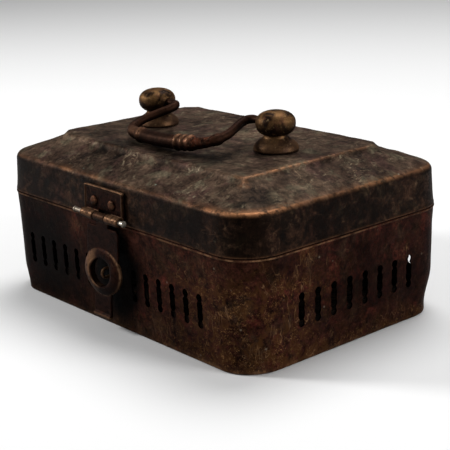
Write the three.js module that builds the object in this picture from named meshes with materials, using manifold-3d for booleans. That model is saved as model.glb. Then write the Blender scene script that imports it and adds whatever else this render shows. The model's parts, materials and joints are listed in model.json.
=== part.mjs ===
// A ventilated box for hot charcoal: a tapered sheet-copper body with pierced sides, a hinged lid
// with a stepped top, a serpentine bail handle between two turned posts, and a hasp with its staple.
// Millimetres, +X right along the front, +Y to the back, +Z up. Origin: centre of the base.

import * as THREE from 'three';
import { mergeVertices } from 'three/addons/utils/BufferGeometryUtils.js';
import Module from 'manifold-3d';

// ---------------------------------------------------------------- driving dimensions

const SHEET = 1.5; // thickness of the copper sheet
const GAP = 0.3; // clearance between pieces that touch
const BORE_HALF = 30; // half length of a drill that goes right through a row of knuckles
const RUNNING_GAP = 0.4; // clearance where one piece turns in another

// Body: half sizes and corner radius at the rim, and how far the walls lean in downwards
const BODY = { halfX: 113.5, halfY: 78.8, radius: 23.4, height: 63.3, taper: 0.023 };
const RIM_BEAD = 0.5; // how far the rim stands out of the wall
const RIM_BEAD_HEIGHT = 1.5;
const FOOT_ROUND = 1; // rounding where the wall meets the table
const CORNER_STEPS = 7; // chords in each rounded corner
const PAN_HEIGHT = 7; // upturned edge of the bottom
const COLLAR = { halfX: 111.2, halfY: 76.5, radius: 21.3, bottom: 50, top: 69.5, sheet: 1.2 };

// Lid: its skirt leans in from the seam to the shoulder, then a band slopes up to a raised panel
const LID_BOTTOM = BODY.height + GAP;
const SHOULDER_Z = 87.3;
const SKIRT_INSET = 1.1;
const SKIRT_LEAN = SKIRT_INSET / (SHOULDER_Z - LID_BOTTOM);
const PANEL = { halfX: 84.2, halfY: 52, clip: 6.3, z: 98.2, foot: 4.5, footZ: 94.9 };
// Section of the lid, by its inset from the body's rim, then by how far it stands out of the panel.
// down and inward say where the sheet's inside lies, in thicknesses.
const SKIRT_SECTION = [
  { z: LID_BOTTOM + 1.4, inset: 0, down: 0, inward: 1 },
  { z: SHOULDER_Z - 2.7, inset: SKIRT_INSET, down: 0.33, inward: 1 },
  { z: SHOULDER_Z - 0.9, inset: 1.9, down: 0.5, inward: 1.3 },
  { z: SHOULDER_Z, inset: 3.9, down: 1.15, inward: 1.2 },
];
const PANEL_SECTION = [
  { z: PANEL.footZ, out: PANEL.foot, down: 1.15, inward: 0.3 },
  { z: PANEL.z - 0.5, out: 0.8, down: 1, inward: 0.7 },
  { z: PANEL.z, out: 0, down: 1.001, inward: 0.7 },
];
const LID_LIP = 0.3; // how far the skirt's lower edge flares out

// Vents: outline of one slot, and the rows in which they are pierced
const SLOT = { z: 29.4, lobeZ: 7.5, lobe: 2.2, neck: 1.35, waist: 2.3, waistZ: 4, neckZ: 5.4 };
const LOBE_STEPS = 3;
const FRONT_GROUPS = [{ start: -25, pitch: -11.95 }, { start: 18.9, pitch: 11.4 }]; // either side of the hasp
const BACK_GROUPS = [{ start: -25.5, pitch: -12 }, { start: 25.5, pitch: 12 }];
const GROUP_COUNT = 6;
const SIDE_Y = 2.6;
const SIDE_PITCH = 12;
const SIDE_COUNT = 8;

// Handle posts and bail
const POST = { x: 53.5, foot: 12.9, neck: 6.9, ball: 11.3, ballZ: 113.6, ballHalf: 7.3, shank: 2.5 };
const BALL_STEPS = 9;
const POST_NUT = { radius: 6.5, height: 3 };
const ROD = { stub: 2, arm: 2.6, grip: 4.2 };
const BAIL_DIP = 14.5; // degrees below horizontal at which the bail lies on the lid
const BAIL_TWIST = 1.8; // its left corner lies lower than its right by twice this angle
const BAIL_CORNER_X = 35;
const STUB_END = 48.5; // the bail's ends, inside the balls
const GRIP_START = { x: 24, reach: 39.3 };
const BEADS = [ // swellings turned on the rod: sideways place, reach, radius and half length
  { x: -19, reach: 40, radius: 4.7, halfLength: 2.6 },
  { x: 16.5, reach: 40.4, radius: 4.9, halfLength: 1.5 },
  { x: 21, reach: 39.9, radius: 4.8, halfLength: 1.5 },
  { x: 25.6, reach: 38.95, radius: 4.7, halfLength: 1.5 },
  { x: 22, reach: 39.8, radius: 4.5, halfLength: 8 },
  { x: 37.6, reach: 30.5, radius: 3.4, halfLength: 3 },
];

// Hasp, which hangs from its pin with its foot leaning out a little
const HASP = { x: -1.3, axisY: -83.2, axisZ: 66.4, knuckle: 2.8, pin: 1.3, sheet: 1.5, lean: 3.5 };
const HASP_PIN = { left: 25.6, right: 21.8 };
const HASP_PLATE = { x: -2.7, halfX: 18, top: 82.4, rivetX: 8.3, rivetZ: 73.6, rivetHead: 3.1 };
const HASP_KNUCKLE = { inner: 5.4, outer: 17.4 };
const STRAP = { front: 0.5, halfX: 14.6, top: 5.8, ring: 31.8, ringX: 17.2, ringHalfZ: 13.4 };
const EYE = { halfX: 10, halfZ: 8.6 };
const DOME = { height: 2.1, lip: 1.1, inset: 0.6, seat: 0.2 };
const TAIL = { halfX: 8, tip: 57.4, curl: 1.5 };
const STAPLE = { z: 33.5, half: 2.6, wire: 0.9, tipY: -85.8, clinch: 4.5 };
const BACKPLATE = { half: 6, rise: 3, sheet: 1 };

// Rear hinges
const HINGE = { x: 62, axisY: 82.3, axisZ: 63.45, knuckle: 2.6, pin: 1.2, halfLength: 17, leaf: 1.2 };
const HINGE_KNUCKLE_HALF = 6;
const LEAF_REACH = 14;
const LEAF_RIVET = 8.4; // from the hinge's axis to its rivets
const HINGE_PIN_END = 1.5; // how far the pin stands out of its knuckles
const RIVET = { shank: 1.3, head: 2.6, clench: 2.1, headHeight: 1.2, shoulder: 0.7, spread: 10.5 };

// Ember tray
const TRAY = { halfX: 103, halfY: 68, radius: 14, floor: 9, rim: 18, sheet: 1.3 };
const TRAY_SLOT = { width: 4, length: 44, pitch: 26, row: 30, count: 7 };
const TRAY_FOOT = { x: 88, y: 53, radius: 4 };

// ---------------------------------------------------------------- solids

const wasm = await Module();
wasm.setup();

function toSolid(geometry, matrix = new THREE.Matrix4()) {
  const bare = geometry.clone();
  bare.deleteAttribute('normal');
  bare.deleteAttribute('uv');
  bare.applyMatrix4(matrix);
  const welded = mergeVertices(bare, 1e-4);
  const mesh = new wasm.Mesh({
    numProp: 3,
    vertProperties: new Float32Array(welded.attributes.position.array),
    triVerts: new Uint32Array(welded.index.array),
  });
  return new wasm.Manifold(mesh);
}

function toGeometry(solid) {
  const mesh = solid.getMesh();
  const geometry = new THREE.BufferGeometry();
  geometry.setAttribute('position', new THREE.BufferAttribute(new Float32Array(mesh.vertProperties), 3));
  geometry.setIndex(new THREE.BufferAttribute(new Uint32Array(mesh.triVerts), 1));
  geometry.computeVertexNormals();
  return geometry;
}

function placed(x, y, z, rx = 0, ry = 0, rz = 0) {
  const turn = new THREE.Matrix4().makeRotationFromEuler(new THREE.Euler(rx, ry, rz));
  return new THREE.Matrix4().makeTranslation(x, y, z).multiply(turn);
}

const cutAll = (solid, cutters) => cutters.reduce((rest, cutter) => rest.subtract(cutter), solid);
const joinAll = (solids) => solids.reduce((whole, solid) => whole.add(solid));

function box(x0, x1, y0, y1, z0, z1) {
  const geometry = new THREE.BoxGeometry(x1 - x0, y1 - y0, z1 - z0);
  return toSolid(geometry, placed((x0 + x1) / 2, (y0 + y1) / 2, (z0 + z1) / 2));
}

// A plate that stands on the axis' height and leans in with the lid's skirt; side is the way it faces
function leaningPlate(x, halfX, face, side, thickness, z0, z1) {
  const geometry = new THREE.BoxGeometry(2 * halfX, thickness, z1 - z0);
  geometry.translate(0, (side * thickness) / 2, (z1 - z0) / 2);
  return toSolid(geometry, placed(x, face, z0, side * Math.atan(SKIRT_LEAN)));
}

function cylinderX(radius, x0, x1, y, z, sides = 16) {
  const geometry = new THREE.CylinderGeometry(radius, radius, x1 - x0, sides);
  return toSolid(geometry, placed((x0 + x1) / 2, y, z, 0, 0, Math.PI / 2));
}

function cylinderY(radius, y0, y1, x, z, sides = 10) {
  const geometry = new THREE.CylinderGeometry(radius, radius, y1 - y0, sides);
  return toSolid(geometry, placed(x, (y0 + y1) / 2, z));
}

// A profile of [radius, height] points turned about a vertical axis
function turned(profile, matrix, sides = 20) {
  const points = profile.map(([radius, height]) => new THREE.Vector2(radius, height));
  const upright = matrix.clone().multiply(placed(0, 0, 0, Math.PI / 2));
  return toSolid(new THREE.LatheGeometry(points, sides), upright);
}

// Corner points of a rectangle with rounded corners, or clipped ones where clip is 1
function outline({ halfX, halfY, radius, clip = 0 }) {
  const points = [];
  const corners = [[1, 1], [-1, 1], [-1, -1], [1, -1]];
  corners.forEach(([sx, sy], corner) => {
    for (let step = 0; step <= CORNER_STEPS; step += 1) {
      const share = step / CORNER_STEPS;
      const angle = (corner + share) * (Math.PI / 2);
      const chordX = corner % 2 ? -share : 1 - share;
      const chordY = corner % 2 ? 1 - share : share;
      const turn = corner < 2 ? 1 : -1;
      const x = THREE.MathUtils.lerp(Math.cos(angle), chordX * turn, clip);
      const y = THREE.MathUtils.lerp(Math.sin(angle), chordY * turn, clip);
      points.push([sx * (halfX - radius) + radius * x, sy * (halfY - radius) + radius * y]);
    }
  });
  return points;
}

// A closed solid skinned over a stack of outlines, lowest first
function loft(levels) {
  const rings = levels.map((level) => outline(level));
  const count = rings[0].length;
  const positions = rings.flatMap((ring, i) => ring.flatMap(([x, y]) => [x, y, levels[i].z]));
  const top = (levels.length - 1) * count;
  const index = [];
  for (let ring = 0; ring < levels.length - 1; ring += 1) {
    for (let i = 0; i < count; i += 1) {
      const a = ring * count + i;
      const b = ring * count + ((i + 1) % count);
      index.push(a, b, b + count, a, b + count, a + count);
    }
  }
  for (let i = 1; i < count - 1; i += 1) {
    index.push(0, i + 1, i, top, top + i, top + i + 1);
  }
  const geometry = new THREE.BufferGeometry();
  geometry.setAttribute('position', new THREE.Float32BufferAttribute(positions, 3));
  geometry.setIndex(index);
  return toSolid(geometry);
}

// The body's wall at a height: its outer half sizes, moved in by the inset
function wallLevel(z, inset) {
  const lean = (BODY.height - z) * BODY.taper + inset;
  return { z, halfX: BODY.halfX - lean, halfY: BODY.halfY - lean, radius: BODY.radius - lean };
}

// Half depth of the body's outer wall at a height
const wallY = (z) => wallLevel(z, 0).halfY;

// ---------------------------------------------------------------- materials and nodes

const darkCopper = { color: 0x3a2a24, roughness: 0.55, metalness: 0.75 };
const wornCopper = { color: 0x6b4a34, roughness: 0.45, metalness: 0.85 };
const olivePatina = { color: 0x47423a, roughness: 0.65, metalness: 0.6 };
const brass = { color: 0x7a5a2e, roughness: 0.4, metalness: 0.85 };
const sootyIron = { color: 0x221d1b, roughness: 0.8, metalness: 0.5 };

const emberBox = new THREE.Group();

function node(name, solid, finish) {
  const mesh = new THREE.Mesh(toGeometry(solid), new THREE.MeshStandardMaterial(finish));
  mesh.name = name;
  emberBox.add(mesh);
  return mesh;
}

// ---------------------------------------------------------------- body

// One vent: two round lobes joined to a wider waist by narrow necks, pierced along +Z of the shape
function slotGeometry(depth) {
  const shape = new THREE.Shape();
  const mouth = Math.asin(SLOT.neck / SLOT.lobe);
  shape.moveTo(SLOT.neck, -SLOT.neckZ);
  shape.lineTo(SLOT.waist, -SLOT.waistZ);
  shape.lineTo(SLOT.waist, SLOT.waistZ);
  shape.lineTo(SLOT.neck, SLOT.neckZ);
  const quarter = Math.PI / 2;
  shape.absarc(0, SLOT.lobeZ, SLOT.lobe, mouth - quarter, 3 * quarter - mouth, false);
  shape.lineTo(-SLOT.neck, SLOT.neckZ);
  shape.lineTo(-SLOT.waist, SLOT.waistZ);
  shape.lineTo(-SLOT.waist, -SLOT.waistZ);
  shape.lineTo(-SLOT.neck, -SLOT.neckZ);
  shape.absarc(0, -SLOT.lobeZ, SLOT.lobe, quarter + mouth, 5 * quarter - mouth, false);
  return new THREE.ExtrudeGeometry(shape, { depth, bevelEnabled: false, curveSegments: LOBE_STEPS });
}

function slotCutters() {
  const through = 8 * SHEET; // longer than the leaning wall is deep
  const cutter = slotGeometry(through);
  const cutters = [];
  for (const [side, groups] of [[-1, FRONT_GROUPS], [1, BACK_GROUPS]]) {
    const wall = side * wallY(SLOT.z) + through / 2;
    for (const { start, pitch } of groups) {
      for (let i = 0; i < GROUP_COUNT; i += 1) {
        cutters.push(toSolid(cutter, placed(start + i * pitch, wall, SLOT.z, Math.PI / 2)));
      }
    }
  }
  const acrossX = placed(0, 0, 0, 0, 0, Math.PI / 2);
  for (const side of [-1, 1]) {
    const wall = side * wallLevel(SLOT.z, 0).halfX - through / 2;
    for (let i = 0; i < SIDE_COUNT; i += 1) {
      const y = SIDE_Y + (i - (SIDE_COUNT - 1) / 2) * SIDE_PITCH;
      const upright = acrossX.clone().multiply(placed(0, 0, 0, Math.PI / 2));
      const shift = new THREE.Matrix4().makeTranslation(wall, y, SLOT.z);
      cutters.push(toSolid(cutter, shift.multiply(upright)));
    }
  }
  return cutters;
}

// depths between which a drill passes through the front or back sheet and nothing else
const WALL_INSIDE = 70;
const WALL_OUTSIDE = 90;
const rivetHole = RIVET.shank + GAP;
const hingeSides = [-1, 1];
const hingeRivets = hingeSides.flatMap((side) => [-1, 1].map((end) => ({ side, end })));
const hingeRivetX = ({ side, end }) => side * HINGE.x + end * RIVET.spread;
const bodyRivetZ = HINGE.axisZ - LEAF_RIVET;
const lidRivetZ = HINGE.axisZ + LEAF_RIVET;

function rivetHoles(z) {
  return hingeRivets.map((rivet) => cylinderY(rivetHole, WALL_INSIDE, WALL_OUTSIDE, hingeRivetX(rivet), z));
}

const plateRivetX = (side) => HASP_PLATE.x + side * HASP_PLATE.rivetX;

function plateRivetHoles() {
  return [-1, 1].map((side) => (
    cylinderY(rivetHole, -WALL_OUTSIDE, -WALL_INSIDE, plateRivetX(side), HASP_PLATE.rivetZ)));
}

function bodyShell() {
  const rimFoot = BODY.height - RIM_BEAD_HEIGHT;
  const outer = loft([
    wallLevel(0, FOOT_ROUND),
    wallLevel(FOOT_ROUND, 0.1),
    wallLevel(rimFoot - 0.3, 0),
    wallLevel(rimFoot, -RIM_BEAD),
    wallLevel(BODY.height - 0.2, -RIM_BEAD),
    wallLevel(BODY.height, -RIM_BEAD / 2),
  ]);
  const inner = loft([wallLevel(-1, SHEET), wallLevel(BODY.height + 1, SHEET)]);
  const legHoles = [-1, 1].map((end) => (
    cylinderY(STAPLE.wire + GAP, -WALL_OUTSIDE, -WALL_INSIDE, HASP.x, STAPLE.z + end * STAPLE.half)));
  return cutAll(outer.subtract(inner), [...slotCutters(), ...rivetHoles(bodyRivetZ), ...legHoles]);
}

function openPan({ halfX, halfY, radius, bottom, top, sheet }) {
  const outer = loft([
    { z: bottom, halfX: halfX - FOOT_ROUND, halfY: halfY - FOOT_ROUND, radius: radius - FOOT_ROUND },
    { z: bottom + FOOT_ROUND, halfX, halfY, radius },
    { z: top, halfX, halfY, radius },
  ]);
  const hollow = { halfX: halfX - sheet, halfY: halfY - sheet, radius: radius - sheet };
  return outer.subtract(loft([{ z: bottom + sheet, ...hollow }, { z: top + 1, ...hollow }]));
}

function bodyBottom() {
  const inset = wallLevel(0, SHEET + GAP);
  return openPan({ ...inset, bottom: 0, top: PAN_HEIGHT, sheet: SHEET });
}

function bodyCollar() {
  const { halfX, halfY, radius, bottom, top, sheet } = COLLAR;
  const outer = loft([{ z: bottom, halfX, halfY, radius }, { z: top, halfX, halfY, radius }]);
  const hollow = { halfX: halfX - sheet, halfY: halfY - sheet, radius: radius - sheet };
  const ring = outer.subtract(loft([{ z: bottom - 1, ...hollow }, { z: top + 1, ...hollow }]));
  // notches where the rivets of the hinges pass
  const notches = hingeRivets.map((rivet) => {
    const x = hingeRivetX(rivet);
    const half = RIVET.head + GAP;
    return box(x - half, x + half, WALL_INSIDE, WALL_OUTSIDE, bottom - 1, bodyRivetZ + half);
  });
  const lidNotches = hingeRivets.map((rivet) => {
    const x = hingeRivetX(rivet);
    const half = RIVET.head + 3 * GAP;
    return box(x - half, x + half, WALL_INSIDE, WALL_OUTSIDE, BODY.height + 2, top + 1);
  });
  return cutAll(ring, [...notches, ...lidNotches]);
}

node('body_shell', bodyShell(), darkCopper);
node('body_bottom', bodyBottom(), darkCopper);
node('body_collar', bodyCollar(), wornCopper);

// ---------------------------------------------------------------- lid

// The lid's outside, or its inside where the sheet's thickness is given
function lidLevels(sheet) {
  const skirt = (z, inset) => ({
    z, halfX: BODY.halfX - inset, halfY: BODY.halfY - inset, radius: BODY.radius - inset,
  });
  const panel = (z, out) => ({
    z, halfX: PANEL.halfX + out, halfY: PANEL.halfY + out, radius: PANEL.clip + out / 3, clip: 1,
  });
  return [
    sheet ? skirt(LID_BOTTOM - 1, sheet) : skirt(LID_BOTTOM, -LID_LIP),
    ...SKIRT_SECTION.map(({ z, inset, down, inward }) => skirt(z - down * sheet, inset + inward * sheet)),
    ...PANEL_SECTION.map(({ z, out, down, inward }) => panel(z - down * sheet, out - inward * sheet)),
  ];
}

function lidShell() {
  const shell = loft(lidLevels(0)).subtract(loft(lidLevels(SHEET)));
  const postHoles = [-1, 1].map((side) => {
    const hole = POST.shank + GAP;
    const geometry = new THREE.CylinderGeometry(hole, hole, 8 * SHEET, 16);
    return toSolid(geometry, placed(side * POST.x, 0, PANEL.z, Math.PI / 2));
  });
  return cutAll(shell, [...postHoles, ...plateRivetHoles(), ...rivetHoles(lidRivetZ)]);
}

node('lid_shell', lidShell(), olivePatina);

// ---------------------------------------------------------------- handle posts and bail

function post(side) {
  const { foot, neck, ball, ballZ, ballHalf, shank } = POST;
  const seat = PANEL.z + GAP;
  const shankEnd = PANEL.z - SHEET - GAP - POST_NUT.height - 1;
  const neckZ = seat + 8.4;
  const profile = [
    [0, shankEnd],
    [shank, shankEnd],
    [shank, seat],
    [foot - 0.5, seat],
    [foot, seat + 0.5],
    [foot - 0.3, seat + 1.3],
    [foot - 0.9, seat + 3],
    [foot - 2.6, seat + 5],
    [neck + 1.4, seat + 6.8],
    [neck, neckZ],
  ];
  const start = Math.asin((neckZ - ballZ) / ballHalf);
  for (let step = 1; step <= BALL_STEPS; step += 1) {
    const angle = THREE.MathUtils.lerp(start, Math.PI / 2, step / BALL_STEPS);
    profile.push([ball * Math.cos(angle), ballZ + ballHalf * Math.sin(angle)]);
  }
  profile[profile.length - 1][0] = 0;
  const solid = turned(profile, placed(side * POST.x, 0, 0));
  const boreEnds = [side * (POST.x - 2 * ball), side * (STUB_END + 1)].sort((a, b) => a - b);
  return solid.subtract(cylinderX(ROD.stub + RUNNING_GAP, ...boreEnds, 0, POST.ballZ));
}

function postNut(side) {
  const { radius, height } = POST_NUT;
  const place = placed(side * POST.x, 0, PANEL.z - SHEET - GAP - height / 2, Math.PI / 2);
  const hexagon = new THREE.CylinderGeometry(radius, radius, height, 6);
  const bore = new THREE.CylinderGeometry(POST.shank + GAP, POST.shank + GAP, 2 * height, 16);
  return toSolid(hexagon, place).subtract(toSolid(bore, place));
}

// Where the bail's centreline lies: sideways x, and its reach from the pivot axis
function bailPoint(x, reach) {
  const dip = THREE.MathUtils.degToRad(BAIL_DIP - BAIL_TWIST * (x / BAIL_CORNER_X));
  return new THREE.Vector3(x, -reach * Math.cos(dip), POST.ballZ - reach * Math.sin(dip));
}

function rod(points, radius, steps) {
  const shape = new THREE.Shape();
  shape.absarc(0, 0, radius, 0, 2 * Math.PI, false);
  const path = new THREE.CatmullRomCurve3(points, false, 'centripetal');
  const options = { steps, extrudePath: path, bevelEnabled: false, curveSegments: 5 };
  return toSolid(new THREE.ExtrudeGeometry(shape, options));
}

function bead({ x, reach, radius, halfLength }) {
  const centre = bailPoint(x, reach);
  const geometry = new THREE.SphereGeometry(radius, 14, 8);
  geometry.scale(halfLength / radius, 1, 1);
  return toSolid(geometry, placed(centre.x, centre.y, centre.z));
}

// Half of the serpentine arm, from the straight stub at the ball out to the grip
const armOutline = [
  [38, 0], [34.6, 0.2], [32.4, 2], [32.6, 6.5], [34.6, 12.5], [37, 18.5], [38.5, 24], [38, 29.5],
  [35.4, 34.5], [30.5, 37.8], [GRIP_START.x, GRIP_START.reach],
];
const gripOutline = [
  [-GRIP_START.x, GRIP_START.reach], [-11, 40.6], [0, 41.2], [11, 40.9], [GRIP_START.x, GRIP_START.reach],
];

function bail() {
  const arms = [-1, 1].flatMap((side) => {
    const arm = armOutline.map(([x, reach]) => bailPoint(side * x, reach));
    const stubEnds = [side * BAIL_CORNER_X, side * STUB_END].sort((a, b) => a - b);
    return [rod(arm, ROD.arm, 22), cylinderX(ROD.stub, ...stubEnds, 0, POST.ballZ)];
  });
  const grip = rod(gripOutline.map(([x, reach]) => bailPoint(x, reach)), ROD.grip, 10);
  return joinAll([...arms, grip, ...BEADS.map(bead)]);
}

for (const [label, side] of [['left', -1], ['right', 1]]) {
  node(`post_${label}`, post(side), brass);
  node(`post_nut_${label}`, postNut(side), sootyIron);
}
node('bail_handle', bail(), wornCopper);

// ---------------------------------------------------------------- rivets

// A rivet along Y: its head outside, its shank through the leaf and the wall, its clenched end inside
function rivet(x, z, outerFace, innerFace, head = RIVET.head) {
  const outward = Math.sign(outerFace - innerFace);
  const length = Math.abs(outerFace - innerFace);
  const { shank, clench, headHeight } = RIVET;
  const edge = headHeight * RIVET.shoulder;
  const profile = [
    [0, -GAP - edge], [clench, -GAP - edge], [clench, -GAP],
    [shank, -GAP], [shank, length + GAP], [head, length + GAP],
    [head * RIVET.shoulder, length + GAP + edge], [0, length + GAP + headHeight],
  ];
  return turned(profile, placed(x, innerFace, z, (-outward * Math.PI) / 2), 12);
}

// ---------------------------------------------------------------- rear hinges

// A leaf with its knuckles: direction 1 rises over the lid's skirt, -1 hangs over the body's wall
function hingeLeaf(side, direction, knuckles, clearings) {
  const { x, axisY, axisZ, halfLength, leaf, knuckle, pin } = HINGE;
  const centre = side * x;
  const back = BODY.halfY + RIM_BEAD + GAP;
  const ends = [axisZ, axisZ + direction * LEAF_REACH].sort((a, b) => a - b);
  const plate = direction > 0
    ? leaningPlate(centre, halfLength, back, 1, leaf, ends[0], ends[1])
    : box(centre - halfLength, centre + halfLength, back, back + leaf, ends[0], ends[1]);
  const tubes = knuckles.map(([from, to]) => cylinderX(knuckle, centre + from, centre + to, axisY, axisZ));
  const room = knuckle + RUNNING_GAP;
  const cleared = clearings.map(([from, to]) => (
    box(centre + from, centre + to, back - 1, axisY + room, axisZ - room, axisZ + room)));
  const bore = cylinderX(pin + GAP, centre - BORE_HALF, centre + BORE_HALF, axisY, axisZ);
  const rivetZ = axisZ + direction * LEAF_RIVET;
  const holes = [-1, 1].map((end) => (
    cylinderY(rivetHole, WALL_INSIDE, WALL_OUTSIDE, centre + end * RIVET.spread, rivetZ)));
  return cutAll(joinAll([plate, ...tubes]), [...cleared, bore, ...holes]);
}

function hingePin(side) {
  const half = HINGE.halfLength + HINGE_PIN_END;
  const centre = side * HINGE.x;
  return cylinderX(HINGE.pin, centre - half, centre + half, HINGE.axisY, HINGE.axisZ, 12);
}

for (const [label, side] of [['left', -1], ['right', 1]]) {
  const half = HINGE.halfLength;
  const mid = HINGE_KNUCKLE_HALF;
  const outerKnuckles = [[-half, -mid], [mid, half]];
  const widened = outerKnuckles.map(([from, to]) => (
    from < 0 ? [from - 1, to + RUNNING_GAP] : [from - RUNNING_GAP, to + 1]));
  const middle = [[-mid + RUNNING_GAP, mid - RUNNING_GAP]];
  node(`hinge_${label}_body_leaf`, hingeLeaf(side, -1, outerKnuckles, [[-mid, mid]]), brass);
  node(`hinge_${label}_lid_leaf`, hingeLeaf(side, 1, middle, widened), brass);
  node(`hinge_${label}_pin`, hingePin(side), sootyIron);
}

const leafFace = BODY.halfY + RIM_BEAD + GAP + HINGE.leaf;
const lidInnerY = (z) => BODY.halfY - SHEET - (z - LID_BOTTOM) * SKIRT_LEAN;
hingeRivets.forEach(({ side, end }) => {
  const label = `${side < 0 ? 'left' : 'right'}_${end < 0 ? 'a' : 'b'}`;
  const x = hingeRivetX({ side, end });
  node(`hinge_body_rivet_${label}`, rivet(x, bodyRivetZ, leafFace, wallY(bodyRivetZ) - SHEET - 0.1), brass);
  node(`hinge_lid_rivet_${label}`, rivet(x, lidRivetZ, leafFace, lidInnerY(lidRivetZ) - 0.2), brass);
});

// ---------------------------------------------------------------- hasp, its plate and its staple

function haspPlate() {
  const { x, axisY, axisZ, knuckle, pin, sheet } = HASP;
  const face = -(BODY.halfY + GAP);
  const plate = leaningPlate(HASP_PLATE.x, HASP_PLATE.halfX, face, -1, sheet, axisZ, HASP_PLATE.top);
  const tubes = [-1, 1].map((side) => {
    const ends = [side * (HASP_KNUCKLE.inner + RUNNING_GAP), side * HASP_KNUCKLE.outer];
    ends.sort((a, b) => a - b);
    return cylinderX(knuckle, x + ends[0], x + ends[1], axisY, axisZ);
  });
  const room = knuckle + RUNNING_GAP;
  const half = HASP_KNUCKLE.inner + RUNNING_GAP;
  const cleared = box(x - half, x + half, face - 9, face + 1, axisZ - room, axisZ + room);
  const bore = cylinderX(pin + GAP, x - BORE_HALF, x + BORE_HALF, axisY, axisZ);
  return cutAll(joinAll([plate, ...tubes]), [cleared, bore, ...plateRivetHoles()]);
}

// The strap, ring and tail in one flat outline, then the domed ring, the knuckle and the curled tip.
// All of it is made hanging from the pin's axis, and then leans out by the hasp's lean.
function hasp() {
  const { x, axisY, axisZ, knuckle, pin, sheet, lean } = HASP;
  const { front, halfX, top, ring, ringX, ringHalfZ } = STRAP;
  const hang = placed(x, axisY, axisZ, -THREE.MathUtils.degToRad(lean));
  const shape = new THREE.Shape();
  const join = Math.acos(halfX / ringX);
  const tailJoin = Math.acos(TAIL.halfX / ringX);
  shape.moveTo(halfX, -top);
  shape.lineTo(-halfX, -top);
  shape.absellipse(0, -ring, ringX, ringHalfZ, Math.PI - join, Math.PI + tailJoin, false);
  shape.lineTo(-TAIL.halfX, -TAIL.tip);
  shape.lineTo(TAIL.halfX, -TAIL.tip);
  shape.absellipse(0, -ring, ringX, ringHalfZ, -tailJoin, join, false);
  const flat = new THREE.ExtrudeGeometry(shape, { depth: sheet, bevelEnabled: false, curveSegments: 14 });
  const plate = toSolid(flat, hang.clone().multiply(placed(0, front + sheet, 0, Math.PI / 2)));

  const rimProfile = [[0, 0], [ringX - DOME.inset, 0], [EYE.halfX + DOME.lip, DOME.height], [0, DOME.height]];
  const squash = new THREE.Matrix4().makeScale(1, 1, ringHalfZ / ringX);
  const domePlace = hang.clone().multiply(placed(0, front + DOME.seat, -ring)).multiply(squash);
  const dome = turned(rimProfile, domePlace.multiply(placed(0, 0, 0, Math.PI / 2)), 28);
  const hole = new THREE.CylinderGeometry(EYE.halfX, EYE.halfX, BORE_HALF, 28);
  const holePlace = hang.clone().multiply(placed(0, 0, -ring));
  holePlace.multiply(new THREE.Matrix4().makeScale(1, 1, EYE.halfZ / EYE.halfX));

  const neck = HASP_KNUCKLE.inner;
  const tube = cylinderX(knuckle, x - neck, x + neck, axisY, axisZ);
  const webGeometry = new THREE.BoxGeometry(2 * neck, sheet, top + 1);
  const web = toSolid(webGeometry, hang.clone().multiply(placed(0, front + sheet / 2, -(top + 1) / 2)));
  const curlGeometry = new THREE.CylinderGeometry(TAIL.curl, TAIL.curl, 2 * TAIL.halfX, 12);
  const curlPlace = placed(0, front + DOME.seat, -TAIL.tip, 0, 0, Math.PI / 2);
  const curl = toSolid(curlGeometry, hang.clone().multiply(curlPlace));
  const bore = cylinderX(pin + GAP, x - BORE_HALF, x + BORE_HALF, axisY, axisZ);
  return cutAll(joinAll([plate, dome, tube, web, curl]), [toSolid(hole, holePlace), bore]);
}

// A wire eye standing out of the wall, its legs through it and clinched up and down inside
function staple() {
  const { z, half, wire, tipY, clinch } = STAPLE;
  const inside = -wallY(z) + SHEET + 2 * GAP + HASP.sheet + wire;
  const bendY = tipY + wire + half;
  const points = [new THREE.Vector3(HASP.x, inside, z - half - clinch)];
  points.push(new THREE.Vector3(HASP.x, inside, z - half - 1));
  points.push(new THREE.Vector3(HASP.x, inside - 1, z - half));
  const steps = 4;
  for (let step = 0; step <= steps; step += 1) {
    const angle = -Math.PI / 2 + (Math.PI * step) / steps;
    points.push(new THREE.Vector3(HASP.x, bendY - half * Math.cos(angle), z + half * Math.sin(angle)));
  }
  points.push(new THREE.Vector3(HASP.x, inside - 1, z + half));
  points.push(new THREE.Vector3(HASP.x, inside, z + half + 1));
  points.push(new THREE.Vector3(HASP.x, inside, z + half + clinch));
  return rod(points, wire, 30);
}

function stapleBackplate() {
  const { z, half, wire } = STAPLE;
  const face = -wallY(z) + SHEET + 2 * GAP;
  const reach = half + BACKPLATE.rise;
  const [left, right] = [HASP.x - BACKPLATE.half, HASP.x + BACKPLATE.half];
  const plate = box(left, right, face, face + BACKPLATE.sheet, z - reach, z + reach);
  return cutAll(plate, [-1, 1].map((end) => (
    cylinderY(wire + GAP, -WALL_OUTSIDE, -WALL_INSIDE, HASP.x, z + end * half))));
}

function haspPin() {
  return cylinderX(HASP.pin, HASP.x - HASP_PIN.left, HASP.x + HASP_PIN.right, HASP.axisY, HASP.axisZ, 12);
}

node('hasp_plate', haspPlate(), wornCopper);
node('hasp', hasp(), wornCopper);
node('hasp_pin', haspPin(), brass);
node('staple', staple(), brass);
node('staple_backplate', stapleBackplate(), sootyIron);
for (const [label, side] of [['left', -1], ['right', 1]]) {
  const plateFace = -(BODY.halfY + HASP.sheet);
  const inner = -(lidInnerY(HASP_PLATE.rivetZ) - 0.2);
  const { rivetZ, rivetHead } = HASP_PLATE;
  const solid = rivet(plateRivetX(side), rivetZ, plateFace, inner, rivetHead);
  node(`hasp_plate_rivet_${label}`, solid, wornCopper);
}

// ---------------------------------------------------------------- ember tray

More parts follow.
